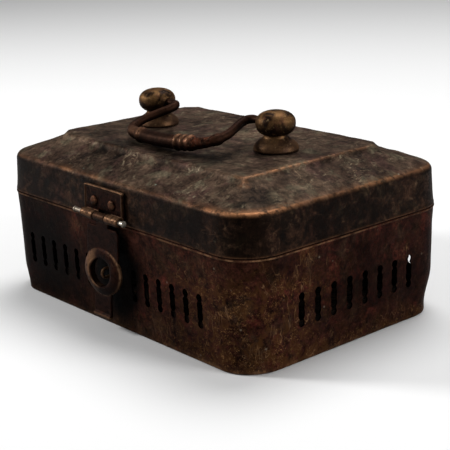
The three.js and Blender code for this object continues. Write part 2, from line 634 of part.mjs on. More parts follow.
function emberTray() {
  const { halfX, halfY, radius, floor, rim, sheet } = TRAY;
  const pan = openPan({ halfX, halfY, radius, bottom: floor, top: rim, sheet });
  const slots = [];
  for (let i = 0; i < TRAY_SLOT.count; i += 1) {
    const x = (i - (TRAY_SLOT.count - 1) / 2) * TRAY_SLOT.pitch;
    for (const row of [-1, 1]) {
      const y = row * TRAY_SLOT.row;
      const halfWidth = TRAY_SLOT.width / 2;
      const halfLength = TRAY_SLOT.length / 2;
      slots.push(box(x - halfWidth, x + halfWidth, y - halfLength, y + halfLength, floor - 1, floor + 3));
    }
  }
  return cutAll(pan, slots);
}

function trayFoot(x, y) {
  const height = TRAY.floor - SHEET - 2 * GAP;
  const geometry = new THREE.CylinderGeometry(TRAY_FOOT.radius, TRAY_FOOT.radius * 0.8, height, 14);
  return toSolid(geometry, placed(x, y, SHEET + GAP + height / 2, Math.PI / 2));
}

node('ember_tray', emberTray(), sootyIron);
for (const [end, sy] of [['front', -1], ['back', 1]]) {
  for (const [label, sx] of [['left', -1], ['right', 1]]) {
    node(`tray_foot_${end}_${label}`, trayFoot(sx * TRAY_FOOT.x, sy * TRAY_FOOT.y), sootyIron);
  }
}

export default emberBox;
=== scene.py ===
"""The looks of the ember box: dented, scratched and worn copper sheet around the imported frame.

Shapes are worked out in millimetres, in the frame's axes, and turned into metres where a mesh is made.
"""

import json
from math import acos, asin, atan, atan2, copysign, cos, exp, hypot, pi, radians, sin

import bmesh
import bpy
import numpy as np
from mathutils import Matrix, Quaternion, Vector, noise


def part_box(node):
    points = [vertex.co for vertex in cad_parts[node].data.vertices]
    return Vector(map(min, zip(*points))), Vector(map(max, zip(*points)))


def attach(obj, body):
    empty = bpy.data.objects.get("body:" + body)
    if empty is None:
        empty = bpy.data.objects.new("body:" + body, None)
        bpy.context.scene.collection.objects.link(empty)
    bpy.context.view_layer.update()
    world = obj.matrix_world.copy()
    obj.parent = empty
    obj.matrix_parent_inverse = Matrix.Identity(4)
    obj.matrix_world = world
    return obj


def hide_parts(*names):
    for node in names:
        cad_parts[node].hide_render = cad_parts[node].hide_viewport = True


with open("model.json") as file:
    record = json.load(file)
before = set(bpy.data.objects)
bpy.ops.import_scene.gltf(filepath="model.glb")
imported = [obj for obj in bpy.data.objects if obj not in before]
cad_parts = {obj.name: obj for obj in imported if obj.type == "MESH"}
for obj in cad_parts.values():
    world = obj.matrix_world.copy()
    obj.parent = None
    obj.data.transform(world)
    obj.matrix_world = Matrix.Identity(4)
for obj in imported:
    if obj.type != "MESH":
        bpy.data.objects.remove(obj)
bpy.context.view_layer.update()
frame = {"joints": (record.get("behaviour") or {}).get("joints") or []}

# ---- sizes, in mm

MM = 0.001
SIDES = (("left", -1), ("right", 1))


def node_box(node):
    """Lowest and highest corners of a CAD node, in mm."""
    low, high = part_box(node)
    return np.array(low) / MM, np.array(high) / MM


def node_centre(node):
    low, high = node_box(node)
    return (low + high) / 2


pivots = {j["name"]: np.array(j["pos_m"]) / MM for j in frame["joints"] if "pos_m" in j}
wall_high = node_box("body_shell")[1]
lid_low, lid_high = node_box("lid_shell")

SHEET = 1.5
GAP = 0.3
RIM_BEAD = 0.5
BODY_X = wall_high[0] - RIM_BEAD
BODY_Y = wall_high[1] - RIM_BEAD
BODY_TOP = wall_high[2]
BODY_RADIUS = 23.4
BODY_TAPER = 0.023
SHOULDER_Z = 87.3
SKIRT_INSET = 1.1
PANEL_X = 84.2
PANEL_Y = 52.0
PANEL_CLIP = 6.3
PANEL_FOOT = 4.5
PANEL_FOOT_Z = 94.9
PANEL_Z = lid_high[2]

SLOT_Z = 29.4
VENT_ROWS = ((-1, -25, -11.95), (-1, 18.9, 11.4), (1, -25.5, -12), (1, 25.5, 12))
VENTS_IN_ROW = 6
SIDE_Y = 2.6
SIDE_PITCH = 12
SIDE_COUNT = 8
WALL_SHEET = 0.9

POST_X = node_centre("post_right")[0]
HASP_X, HASP_Y, HASP_Z = pivots["hasp_swing"]
PLATE_HALF = 18
PLATE_X = node_box("hasp_plate")[0][0] + PLATE_HALF
HASP_LEAN = radians(-3.5)
HASP_FRONT = 0.5
RING_Z = -31.8
RING_X = 17.2  # half the ring's width
RING_HEIGHT = 13.4  # half of it
EYE_RADIUS = 9.4
PIN_BORE = 1.6
HINGE_BORE = 1.5
BAIL_BORE = 2.4
PLATE_TOP = node_box("hasp_plate")[1][2]
HINGE_Y, HINGE_Z = pivots["lid_hinge"][1:]
HINGE_X = 62
SKIRT_LEAN = atan(SKIRT_INSET / (SHOULDER_Z - lid_low[2]))

# ---- mesh helpers

# quarter turns: Y up to Z, Z along to X, and X round to Y
TURN_X, TURN_Y, TURN_Z = (Matrix.Rotation(pi / 2, 4, axis) for axis in "XYZ")


def at(x, y, z):
    return Matrix.Translation((x, y, z))


def make_object(name, mesh):
    obj = bpy.data.objects.new(name, mesh)
    bpy.context.scene.collection.objects.link(obj)
    return obj


def to_object(name, bm):
    mesh = bpy.data.meshes.new(name)
    bm.to_mesh(mesh)
    bm.free()
    mesh.shade_smooth()
    return make_object(name, mesh)


def from_bmesh(name, bm, matrix=None):
    """A smooth-shaded object, in metres, from a bmesh in mm."""
    if matrix is not None:
        bm.transform(matrix)
    bm.transform(Matrix.Scale(MM, 4))
    return to_object(name, bm)


def joined(name, objects):
    """One object holding the meshes of several, which are removed."""
    bm = bmesh.new()
    for obj in objects:
        bm.from_mesh(obj.data)
        bpy.data.objects.remove(obj)
    return to_object(name, bm)


def modified(obj, kind, **settings):
    """Adds a modifier and applies it."""
    modifier = obj.modifiers.new(kind, kind)
    for key, value in settings.items():
        setattr(modifier, key, value)
    graph = bpy.context.evaluated_depsgraph_get()
    mesh = bpy.data.meshes.new_from_object(obj.evaluated_get(graph))
    obj.modifiers.clear()
    old = obj.data
    obj.data = mesh
    mesh.name = old.name
    bpy.data.meshes.remove(old)
    return obj


def cut(obj, cutters):
    """Takes closed meshes out of a closed mesh."""
    tool = joined("cutter", cutters)
    modified(obj, "BOOLEAN", operation="DIFFERENCE", solver="EXACT", object=tool)
    bpy.data.objects.remove(tool)
    return obj


def fused(name, objects, voxel, rounds):
    """Melts overlapping solids into one worn, soft-edged solid. voxel is in mm."""
    obj = modified(joined(name, objects), "REMESH", mode="VOXEL", voxel_size=voxel * MM)
    modified(obj, "SMOOTH", factor=0.5, iterations=rounds)
    obj.data.shade_smooth()
    return obj


def displace(obj, move):
    """Moves each vertex by a vector in mm, worked out from its place in mm and its normal."""
    for vertex in obj.data.vertices:
        vertex.co += move(vertex.co / MM, vertex.normal) * MM


def sharpen(obj, degrees):
    """Smooth shading, apart from edges that turn by more than the angle."""
    mesh = obj.data
    mesh.shade_smooth()
    mesh.set_sharp_from_angle(angle=radians(degrees))
    return obj


def curve_through(points, step):
    """Catmull-Rom points about one step apart through a list of points."""
    points = np.array(points, float)
    padded = np.vstack([2 * points[0] - points[1], points, 2 * points[-1] - points[-2]])
    out = [points[0]]
    for i in range(len(points) - 1):
        p0, p1, p2, p3 = padded[i : i + 4]
        count = max(2, int(np.linalg.norm(p2 - p1) / step))
        for t in np.linspace(0, 1, count + 1)[1:]:
            square, cube = t * t, t * t * t
            out.append(
                0.5 * (2 * p1 + (p2 - p0) * t + (2 * p0 - 5 * p1 + 4 * p2 - p3) * square
                       + (3 * p1 - p0 - 3 * p2 + p3) * cube)
            )
    return np.array(out)


def bridge(bm, rings):
    """Faces between each ring of vertices and the next. A ring of one vertex is a pole."""
    for low, high in zip(rings, rings[1:]):
        count = max(len(low), len(high))
        for i in range(count):
            j = (i + 1) % count
            ring = [low[i % len(low)], low[j % len(low)], high[j % len(high)], high[i % len(high)]]
            corners = list(dict.fromkeys(ring))
            if len(corners) > 2:
                bm.faces.new(corners)


def closed(name, bm, matrix=None):
    bmesh.ops.recalc_face_normals(bm, faces=bm.faces)
    return from_bmesh(name, bm, matrix)


def lathe(name, profile, matrix=None, sides=64):
    """A closed solid: [radius, height] points, from pole to pole, turned about Z."""
    bm = bmesh.new()
    rings = []
    for radius, height in profile:
        turns = [2 * pi * i / sides for i in range(sides if radius > 1e-6 else 1)]
        rings.append([bm.verts.new((radius * cos(a), radius * sin(a), height)) for a in turns])
    bridge(bm, rings)
    return closed(name, bm, matrix)


def prism(name, outline_points, depth, matrix=None):
    """A flat outline in X and Z, standing from Y 0 back to Y depth."""
    bm = bmesh.new()
    front = [bm.verts.new((x, 0, z)) for x, z in outline_points]
    back = [bm.verts.new((x, depth, z)) for x, z in outline_points]
    bm.faces.new(front)
    bm.faces.new(back[::-1])
    count = len(front)
    for i in range(count):
        j = (i + 1) % count
        bm.faces.new([front[j], front[i], back[i], back[j]])
    return closed(name, bm, matrix)


def rounded(x0, x1, z0, z1, radius, steps=5):
    """Outline of a rectangle with rounded corners."""
    points = []
    for corner, (cx, cz) in enumerate(
        [(x1 - radius, z1 - radius), (x0 + radius, z1 - radius),
         (x0 + radius, z0 + radius), (x1 - radius, z0 + radius)]
    ):
        for step in range(steps + 1):
            angle = (corner + step / steps) * pi / 2
            points.append((cx + radius * cos(angle), cz + radius * sin(angle)))
    return points


def ellipse_arc(cx, cz, rx, rz, start, end, steps):
    return [(cx + rx * cos(a), cz + rz * sin(a)) for a in np.linspace(start, end, steps)]


def tube(name, path, radii, sides=24):
    """A closed rod along a path, with a radius at each of its points."""
    path = [Vector(p) for p in path]
    bm = bmesh.new()
    last = len(path) - 1
    tangents = [(path[min(i + 1, last)] - path[max(i - 1, 0)]).normalized() for i in range(last + 1)]
    across = tangents[0].orthogonal().normalized()
    rings = []
    for i, (point, tangent, radius) in enumerate(zip(path, tangents, radii)):
        if i:
            across = tangents[i - 1].rotation_difference(tangent) @ across
        across = (across - tangent * across.dot(tangent)).normalized()
        other = tangent.cross(across)
        turns = [2 * pi * side / sides for side in range(sides)]
        spokes = [float(radius) * (cos(a) * across + sin(a) * other) for a in turns]
        rings.append([bm.verts.new(point + spoke) for spoke in spokes])
    bridge(bm, rings)
    # slightly pointed ends
    for end, outwards in ((0, -1), (-1, 1)):
        centre = sum((v.co for v in rings[end]), Vector()) / sides
        tip = bm.verts.new(centre + outwards * tangents[end] * float(radii[end]) * 0.25)
        bridge(bm, [rings[end], [tip]])
    return closed(name, bm)


def drill(radius, reach=9):
    """A cylinder's profile for lathe, to cut a hole with."""
    return [(0, -reach), (radius, -reach), (radius, reach), (0, reach)]


def rod_x(name, radius, x0, x1, y, z, sides=32):
    """A straight rod along X with softened ends."""
    bevel = min(0.3, radius / 4)
    left = [(0, x0), (radius - bevel, x0), (radius, x0 + bevel)]
    right = [(radius, x1 - bevel), (radius - bevel, x1), (0, x1)]
    return lathe(name, left + right, at(0, y, z) @ TURN_Y, sides)


# ---- sheet metal

CORNER_STEPS = 14
NEAR_CORNER = 3  # the front right one, which is pointed where the others are clipped
SIDE_STEPS = (74, 46)


def outline(half_x, half_y, radius, clip=0.0):
    """Points round a rectangle whose corners are rounded, or clipped where clip is 1."""
    share = np.linspace(0, 1, CORNER_STEPS + 1)[:, None]
    corners = []
    for corner, (sx, sy) in enumerate([(1, 1), (-1, 1), (-1, -1), (1, -1)]):
        angle = (corner + share) * pi / 2
        arc = np.hstack([np.cos(angle), np.sin(angle)])
        chord = arc[0] + (arc[-1] - arc[0]) * share
        if corner == NEAR_CORNER:
            chord = 0.2 * chord + 0.8 * arc / np.abs(arc).max(axis=1, keepdims=True)
        centre = np.array([sx * (half_x - radius), sy * (half_y - radius)])
        corners.append(centre + radius * (arc * (1 - clip) + chord * clip))
    points = []
    for corner in range(4):
        points.append(corners[corner])
        steps = SIDE_STEPS[corner % 2]
        along = np.linspace(0, 1, steps + 1)[1:-1, None]
        start, end = corners[corner][-1], corners[(corner + 1) % 4][0]
        points.append(start + (end - start) * along)
    return np.vstack(points)


def sheet_piece(name, levels, thickness, press):
    """A bent sheet: outlines stacked from its first edge to its last, pressed by a depth function, then
    thickened inwards. Levels are (z, half_x, half_y, radius, clip)."""
    bm = bmesh.new()
    rings = []
    for z, half_x, half_y, radius, clip in levels:
        rings.append([bm.verts.new((x, y, z)) for x, y in outline(half_x, half_y, radius, clip)])
    bridge(bm, rings)
    bmesh.ops.remove_doubles(bm, verts=bm.verts, dist=1e-3)
    bm.normal_update()
    moves = [v.normal * press(v.co, v.normal) for v in bm.verts]
    for vertex, move in zip(bm.verts, moves):
        vertex.co += move
    obj = from_bmesh(name, bm)
    return modified(obj, "SOLIDIFY", thickness=thickness * MM, offset=-1, use_even_offset=True)


def step_up(low, high, value):
    """0 below low, 1 above high, smooth between."""
    t = min(max((value - low) / (high - low), 0), 1)
    return t * t * (3 - 2 * t)


def step_down(low, high, value):
    return 1 - step_up(low, high, value)


def waves(point, wavelength, seed):
    return noise.noise(Vector(point) / wavelength + Vector((seed, 2.3 * seed, -1.7 * seed)))


def near(point, centre, radius):
    """1 at the centre, fading to 0 at the radius."""
    return step_down(0, radius, (Vector(point) - Vector(centre)).length)


def bell(offset, width):
    """1 where the offset is 0, fading on both sides of it."""
    return exp(-((offset / width) ** 2))


def marks(table, point):
    """What a table's round marks add up to at a point. A mark is x, y, z, radius and strength."""
    return sum(strength * near(point, place, radius) for *place, radius, strength in table)


def wall_level(z, inset):
    lean = (BODY_TOP - z) * BODY_TAPER + inset
    return (z, BODY_X - lean, BODY_Y - lean, BODY_RADIUS - lean, 0)


def concentric(z, half_x, half_y, radius, clip, steps):
    """Outlines that shrink to the middle line of a flat panel, outermost left out."""
    out = []
    for share in np.linspace(0, 1, steps + 1)[1:]:
        inset = half_y * share
        out.append((z, half_x - inset, half_y - inset, radius * (1 - share), clip))
    return out


# ---- body


def slot_outline():
    """One vent: two lobes joined to a wider waist by necks."""
    lobe_z, lobe, neck, waist, waist_z, neck_z = 7.5, 2.2, 1.35, 2.3, 4.0, 5.4
    mouth = asin(neck / lobe)
    quarter = pi / 2
    upper = ellipse_arc(0, lobe_z, lobe, lobe, mouth - quarter, 3 * quarter - mouth, 15)
    foot = [(neck, -neck_z), (waist - 0.15, -waist_z - 0.15), (waist, -waist_z + 0.4), (waist, -2)]
    right = foot + [(waist - 0.3, 0)] + [(x, -z) for x, z in foot[::-1]]
    left = [(-x, -z) for x, z in right]
    lower = [(-x, -z) for x, z in upper]
    return right + upper[1:-1] + left + lower[1:-1]


def knock_corners(obj):
    """Moves two lower corners in, the front left and the back right."""
    for side, height, radius, depth in ((1, 4, 22, 3.4), (-1, 0, 18, 2.8)):
        corner = (side * (BODY_X - 8), side * (BODY_Y - 8), height)
        inwards = -side * depth * Vector((1, 1, 0)).normalized()
        displace(obj, lambda point, normal: inwards * near(point, corner, radius))


def body_press(point, normal):
    """Slow buckles and small knocks in the wall, always inwards, with the rim and the foot left true."""
    calm = step_up(0, 5, point.z) * step_down(52, 60, point.z)
    calm *= 1 - near(point, (HASP_X, -BODY_Y, SLOT_Z), 16)
    buckle = 0.28 * (waves(point, 52, 3.1) - 0.6) + 0.12 * (waves(point, 15, 5.7) - 0.6)
    return calm * buckle


def make_body():
    foot_z = BODY_TOP - 1.5
    heights = np.linspace(3, foot_z - 0.5, 24)
    levels = [wall_level(0, 1.2), wall_level(0.35, 0.5), wall_level(1.1, 0.1)]
    levels += [wall_level(z, 0) for z in heights]
    for angle in np.linspace(-pi / 2, pi / 2, 9):
        z = BODY_TOP - 0.75 + 0.75 * sin(angle)
        levels.append(wall_level(z, -RIM_BEAD * cos(angle)))
    shell = sheet_piece("body_shell_sheet", levels, WALL_SHEET, body_press)
    deep = 14  # how far the cutters reach through the wall
    cutters = []
    for face, start, pitch in VENT_ROWS:
        for i in range(VENTS_IN_ROW):
            place = at(start + i * pitch, face * BODY_Y - deep / 2, SLOT_Z)
            cutters.append(prism("vent", slot_outline(), deep, place))
    for i in range(SIDE_COUNT):
        y = SIDE_Y + (i - (SIDE_COUNT - 1) / 2) * SIDE_PITCH
        for face in (-1, 1):
            place = at(face * BODY_X + deep / 2, y, SLOT_Z)
            cutters.append(prism("vent", slot_outline(), deep, place @ TURN_Z))
    cut(shell, cutters)
    knock_corners(shell)
    return sharpen(shell, 40)


def pan_levels(z0, top, half_x, half_y, radius, bend):
    """A flat bottom from its middle outwards, then an upturned edge."""
    flat = concentric(z0, half_x - bend, half_y - bend, radius - bend, 0, 18)[::-1]
    curve = []
    for angle in np.linspace(0, pi / 2, 6):
        inset = bend * (1 - sin(angle))
        curve.append((z0 + bend * (1 - cos(angle)), half_x - inset, half_y - inset, radius - inset, 0))
    walls = [(z, half_x, half_y, radius, 0) for z in np.linspace(z0 + bend, top, 4)[1:]]
    return flat + curve + walls


def make_bottom():
    low, high = node_box("body_bottom")
    levels = pan_levels(low[2], high[2], high[0], high[1], BODY_RADIUS - 3.3, 1.6)

    def press(point, normal):
        inside = step_up(0, 12, min(high[0] - abs(point.x), high[1] - abs(point.y)))
        return 0.35 * (waves(point, 40, 8.2) - 0.7) * normal.z ** 2 * inside

    pan = sheet_piece("body_bottom_pan", levels, SHEET, press)
    knock_corners(pan)
    return pan


def make_collar():
    low, high = node_box("body_collar")
    levels = [(z, high[0], high[1], 21.3, 0) for z in np.linspace(low[2], high[2], 8)]
    press = lambda point, normal: 0.15 * (waves(point, 30, 1.9) - 1)
    ring = sheet_piece("body_collar_ring", levels, 1.2, press)
    notches = []
    for end in ("left_a", "left_b", "right_a", "right_b"):
        x, _, z = node_centre(f"hinge_body_rivet_{end}")
        lid_z = node_centre(f"hinge_lid_rivet_{end}")[2]
        for half, z0, z1 in ((2.9, low[2] - 2, z + 2.9), (3.5, lid_z - 6.5, high[2] + 4)):
            notches.append(prism("notch", rounded(-half, half, z0, z1, 1), 10, at(x, 70, 0)))
    return sharpen(cut(ring, notches), 40)


# ---- lid

# knocks in the lid's sloping band and panel: x, y, z, radius and depth
KNOCKS = [
    (-74, -60, 93, 9, 0.9), (-53, -57, 94.5, 6, -0.6), (-43, -58, 94, 8, 1.9), (-31, -60, 93.5, 8, 1.7),
    (-19, -57, 94.5, 8, 2.0), (-8, -58, 94, 6, -0.6), (3, -58, 94, 8, 1.5), (16, -61, 93, 9, 1.2),
    (33, -58, 94, 10, 1.1), (54, -62, 92, 12, 1.0), (74, -58, 94, 9, 0.8), (98, 10, 92, 14, 0.7),
    (101, 48, 90, 12, 0.8), (98, -34, 92, 11, 0.6), (-40, 62, 92, 13, 0.8), (22, 63, 92, 12, 0.8),
    (78, 60, 93, 10, 0.6), (66, -30, 98, 13, 0.7), (-20, -36, 98, 14, 0.8), (-66, -22, 98, 12, 0.8),
    (18, 26, 98, 18, 0.8), (-96, 20, 92, 12, 0.8), (-99, -30, 91, 13, 0.8),
]


def lid_press(point, normal):
    """A hammered, knocked surface above the shoulder and gentle buckles in the skirt."""
    upper = step_up(SHOULDER_Z - 3, SHOULDER_Z + 2, point.z)
    skirt = step_up(lid_low[2] + 2, lid_low[2] + 8, point.z) * (1 - upper)
    still = 1.0
    for _, side in SIDES:
        still *= 1 - near(point, (side * POST_X, 0, PANEL_Z), 20)
    still *= 1 - near(point, (HASP_X, -BODY_Y, 74), 26)
    hammered = 0.42 * waves(point, 21, 4.4) + 0.26 * waves(point, 8.5, 9.3) - 0.12
    depth = upper * hammered + skirt * (0.22 * waves(point, 34, 6.6) + 0.07 * waves(point, 11, 2.2) - 0.2)
    return still * (depth - marks(KNOCKS, point))


def make_lid():
    bottom = lid_low[2]
    skirt = lambda z, inset: (z, BODY_X - inset, BODY_Y - inset, BODY_RADIUS - inset, 0)
    panel = lambda z, out: (z, PANEL_X + out, PANEL_Y + out, PANEL_CLIP + out / 3, 1)
    bead = ((0, -0.1), (0.25, -0.3), (1.0, -0.25), (1.6, 0))
    levels = [skirt(bottom + rise, inset) for rise, inset in bead]
    skirt_top = SHOULDER_Z - 4.4
    for z in np.linspace(bottom + 1.6, skirt_top, 9)[1:]:
        levels.append(skirt(z, SKIRT_INSET * (z - bottom) / (SHOULDER_Z - bottom)))
    # the shoulder rolls over from the skirt into the band
    roll = 4.2
    start_inset = SKIRT_INSET * (skirt_top - bottom) / (SHOULDER_Z - bottom)
    band_slope = atan2(PANEL_FOOT_Z - SHOULDER_Z, BODY_X - 3.9 - PANEL_X - PANEL_FOOT)
    for turn in np.linspace(0, pi / 2 - band_slope, 9)[1:]:
        levels.append(skirt(skirt_top + roll * sin(turn), start_inset + roll * (1 - cos(turn))))
    shoulder, foot = levels[-1], panel(PANEL_FOOT_Z, PANEL_FOOT)
    for share in np.linspace(0, 1, 13)[1:]:
        mixed = [a + (b - a) * share for a, b in zip(shoulder, foot)]
        mixed[4] = share ** 1.6
        levels.append(tuple(mixed))
    # the short riser of the raised panel, concave at its foot and rounded at its top
    for share, rise in ((0.22, 0.10), (0.42, 0.30), (0.6, 0.56), (0.76, 0.79), (0.9, 0.94)):
        levels.append(panel(PANEL_FOOT_Z + (PANEL_Z - PANEL_FOOT_Z) * rise, PANEL_FOOT * (1 - share)))
    levels.append(panel(PANEL_Z, -0.6))
    levels += concentric(PANEL_Z, PANEL_X - 0.6, PANEL_Y - 0.6, PANEL_CLIP, 1, 20)
    return sheet_piece("lid_shell_sheet", levels, SHEET, lid_press)


# ---- posts and bail


def make_post(label, side):
    foot = node_box(f"post_{label}")[0][2]
    seat = PANEL_Z + GAP
    ball, ball_z, half = 11.3, pivots["bail_swing"][2], 7.3
    flare = curve_through(
        [(12.9, seat + 0.9), (12.75, seat + 1.5), (12.1, seat + 3.2), (10.6, seat + 4.9), (8.6, seat + 6.3),
         (7.2, seat + 7.4), (6.8, seat + 8.4)], 0.4)
    profile = [(0, foot), (2.2, foot), (2.5, foot + 0.4), (2.5, seat), (12.3, seat), (12.8, seat + 0.4)]
    profile += [tuple(p) for p in flare]
    power = 2 / 2.35  # a little squarer than an ellipse
    start = -asin(min(1, abs((seat + 8.8 - ball_z) / half)) ** (1 / power))
    for angle in np.linspace(start, pi / 2, 34):
        radius = ball * cos(angle) ** power
        rise = copysign(abs(sin(angle)) ** power, angle)
        dimple = 0.35 * step_down(0, 4, radius) if angle > 0 else 0
        profile.append((radius if angle < pi / 2 - 1e-6 else 0, ball_z + half * rise - dimple))
    post = lathe(f"post_{label}_turning", profile, at(side * POST_X, 0, 0), 72)
    return sharpen(cut(post, [rod_x("bore", BAIL_BORE, *sorted((side * 30, side * 49.5)), 0, ball_z)]), 50)


def make_post_nut(label):
    low, high = node_box(f"post_nut_{label}")
    middle = (low + high) / 2
    radius = high[1] - middle[1]
    points = [(radius * cos(a), radius * sin(a)) for a in (np.arange(6) + 0.5) * pi / 3]
    flat = at(middle[0], middle[1], low[2]) @ TURN_X
    nut = prism(f"post_nut_{label}_hex", points, high[2] - low[2], flat)
    modified(nut, "BEVEL", width=0.45 * MM, segments=3)
    return sharpen(cut(nut, [lathe("bore", drill(2.8), at(*middle), 32)]), 30)


DIP = radians(14.5)
TWIST = radians(1.8)
BAIL_CORNER_X = 35
ARM_OUTLINE = [
    (48.5, 0), (43, 0), (38, 0.1), (34.9, 0.6), (32.6, 2.7), (32.6, 6.8), (34.6, 12.5), (37, 18.5),
    (38.5, 24), (38, 29.5), (35.4, 34.5), (30.5, 37.8), (24, 39.3),
]
ARM_RADII = [2.0, 2.0, 2.2, 2.5, 2.6, 2.6, 2.6, 2.6, 2.65, 2.75, 3.0, 3.4, 3.8]
GRIP_OUTLINE = [(11.5, 40.9), (0, 41.2), (-11.5, 40.7)]
GRIP_RADII = [4.2, 4.2, 4.2]
# swellings on the grip: place along X, radius, half length and how square they are
GRIP_BEADS = [(-19, 4.75, 2.4, 0.6), (16.5, 4.95, 1.5, 0.45), (21, 4.85, 1.5, 0.45), (25.6, 4.75, 1.6, 0.5),
              (22, 4.45, 8, 1.0)]


def bail_point(x, reach):
    dip = DIP - TWIST * (x / BAIL_CORNER_X)
    return np.array([x, -reach * cos(dip), pivots["bail_swing"][2] - reach * sin(dip)])


def make_bail():
    stops = ARM_OUTLINE + GRIP_OUTLINE + [(-x, reach) for x, reach in ARM_OUTLINE[::-1]]
    radii = ARM_RADII + GRIP_RADII + ARM_RADII[::-1]
    places = np.array([[*bail_point(x, reach), radius] for (x, reach), radius in zip(stops, radii)])
    path = curve_through(places, 0.55)
    along = np.concatenate([[0], np.cumsum(np.linalg.norm(np.diff(path[:, :3], axis=0), axis=1))])
    rod = path[:, 3].copy()
    grip = np.linalg.norm(path[:, 1:3] - [0, pivots["bail_swing"][2]], axis=1) > 37
    for x, radius, half_length, power in GRIP_BEADS:
        middle = along[grip][np.argmin(np.abs(path[grip][:, 0] - x))]
        share = np.clip(1 - ((along - middle) / half_length) ** 2, 0, None) ** power
        rod = np.maximum(rod, rod + (radius - rod) * share)
    knob = np.argmin(np.linalg.norm(path[:, :3] - bail_point(37.6, 30.5), axis=1))
    share = np.clip(1 - ((along - along[knob]) / 3.4) ** 2, 0, None)
    rod = rod + (3.45 - rod) * share * (rod < 3.45)
    handle = tube("bail_handle_rod", path[:, :3], rod, 28)

    def corrode(point, normal):
        crust = step_up(14, 20, point.x) * step_down(34, 38, point.x) * step_up(20, 30, -point.y)
        rough = 0.05 * waves(point, 6, 7.7) + crust * 0.16 * waves(point, 2.4, 3.3)
        return normal * (rough - 0.04 if abs(point.x) <= 40 else 0)

    displace(handle, corrode)
    return handle


# ---- rivets, pins and staple


def make_rivet(node, head_side):
    """A domed head outside, a shank through the sheets, and a clenched end inside."""
    low, high = node_box(node)
    middle = (low + high) / 2
    length = high[1] - low[1]
    head = (high[0] - low[0]) / 2
    dome = [(head * cos(a), length - 1.25 + 1.25 * sin(a)) for a in np.linspace(0, pi / 2, 9)]
    clench = [(0, 0), (head * 0.55, 0.05), (head * 0.78, 0.4), (head * 0.78, 0.8)]
    dome[-1] = (0, length)
    profile = clench + [(1.3, 0.85), (1.3, length - 1.3), (head - 0.2, length - 1.3)] + dome
    turn = Matrix.Rotation(-head_side * pi / 2, 4, "X")
    start = low[1] if head_side > 0 else high[1]
    place = at(middle[0], start, middle[2]) @ turn
    rivet = lathe(f"{node}_domed", profile, place, 28)
    displace(rivet, lambda point, normal: normal * 0.12 * waves(point, 1.9, middle[0]))
    return sharpen(rivet, 55)


def make_pin(node, radius, head):
    """A wire pin with its ends upset into small heads."""
    low, high = node_box(node)
    x0, x1 = low[0], high[0]
    y, z = (low[1] + high[1]) / 2, (low[2] + high[2]) / 2
    ends = [(0, 0), (radius * 0.7, 0), (head, 0.35), (head, 1.0), (radius, 1.3)]
    profile = [(r, x0 + h) for r, h in ends] + [(r, x1 - h) for r, h in ends[::-1]]
    place = at(0, y, z) @ TURN_Y
    return sharpen(lathe(f"{node}_wire", profile, place, 28), 50)


def make_staple():
    low, high = node_box("staple")
    z, half, wire = (low[2] + high[2]) / 2, 2.6, 0.9
    inside, front = high[1] - wire, low[1] + wire
    bend = front + half
    half_turn = np.linspace(-pi / 2, pi / 2, 11)
    loop = [(HASP_X, bend - half * cos(a), z + half * sin(a)) for a in half_turn]
    lower = [(HASP_X, inside, low[2] + 0.2), (HASP_X, inside, z - half - 1), (HASP_X, inside - 1, z - half)]
    upper = [(HASP_X, y, 2 * z - height) for _, y, height in lower[::-1]]
    path = curve_through(lower + loop + upper, 0.4)
    return tube("staple_wire", path, [wire] * len(path), 20)


def make_backplate():
    low, high = node_box("staple_backplate")
    plate = prism("staple_backplate_sheet", rounded(low[0], high[0], low[2], high[2], 1.5), high[1] - low[1],
                  at(0, low[1], 0))
    return sharpen(modified(plate, "BEVEL", width=0.25 * MM, segments=2), 35)


# ---- hasp


def hang(x=0.0, y=0.0, z=0.0):
    """A place on the hanging hasp, measured from its pin."""
    turn = Matrix.Rotation(HASP_LEAN, 4, "X")
    return at(HASP_X, HASP_Y, HASP_Z) @ turn @ at(x, y, z)


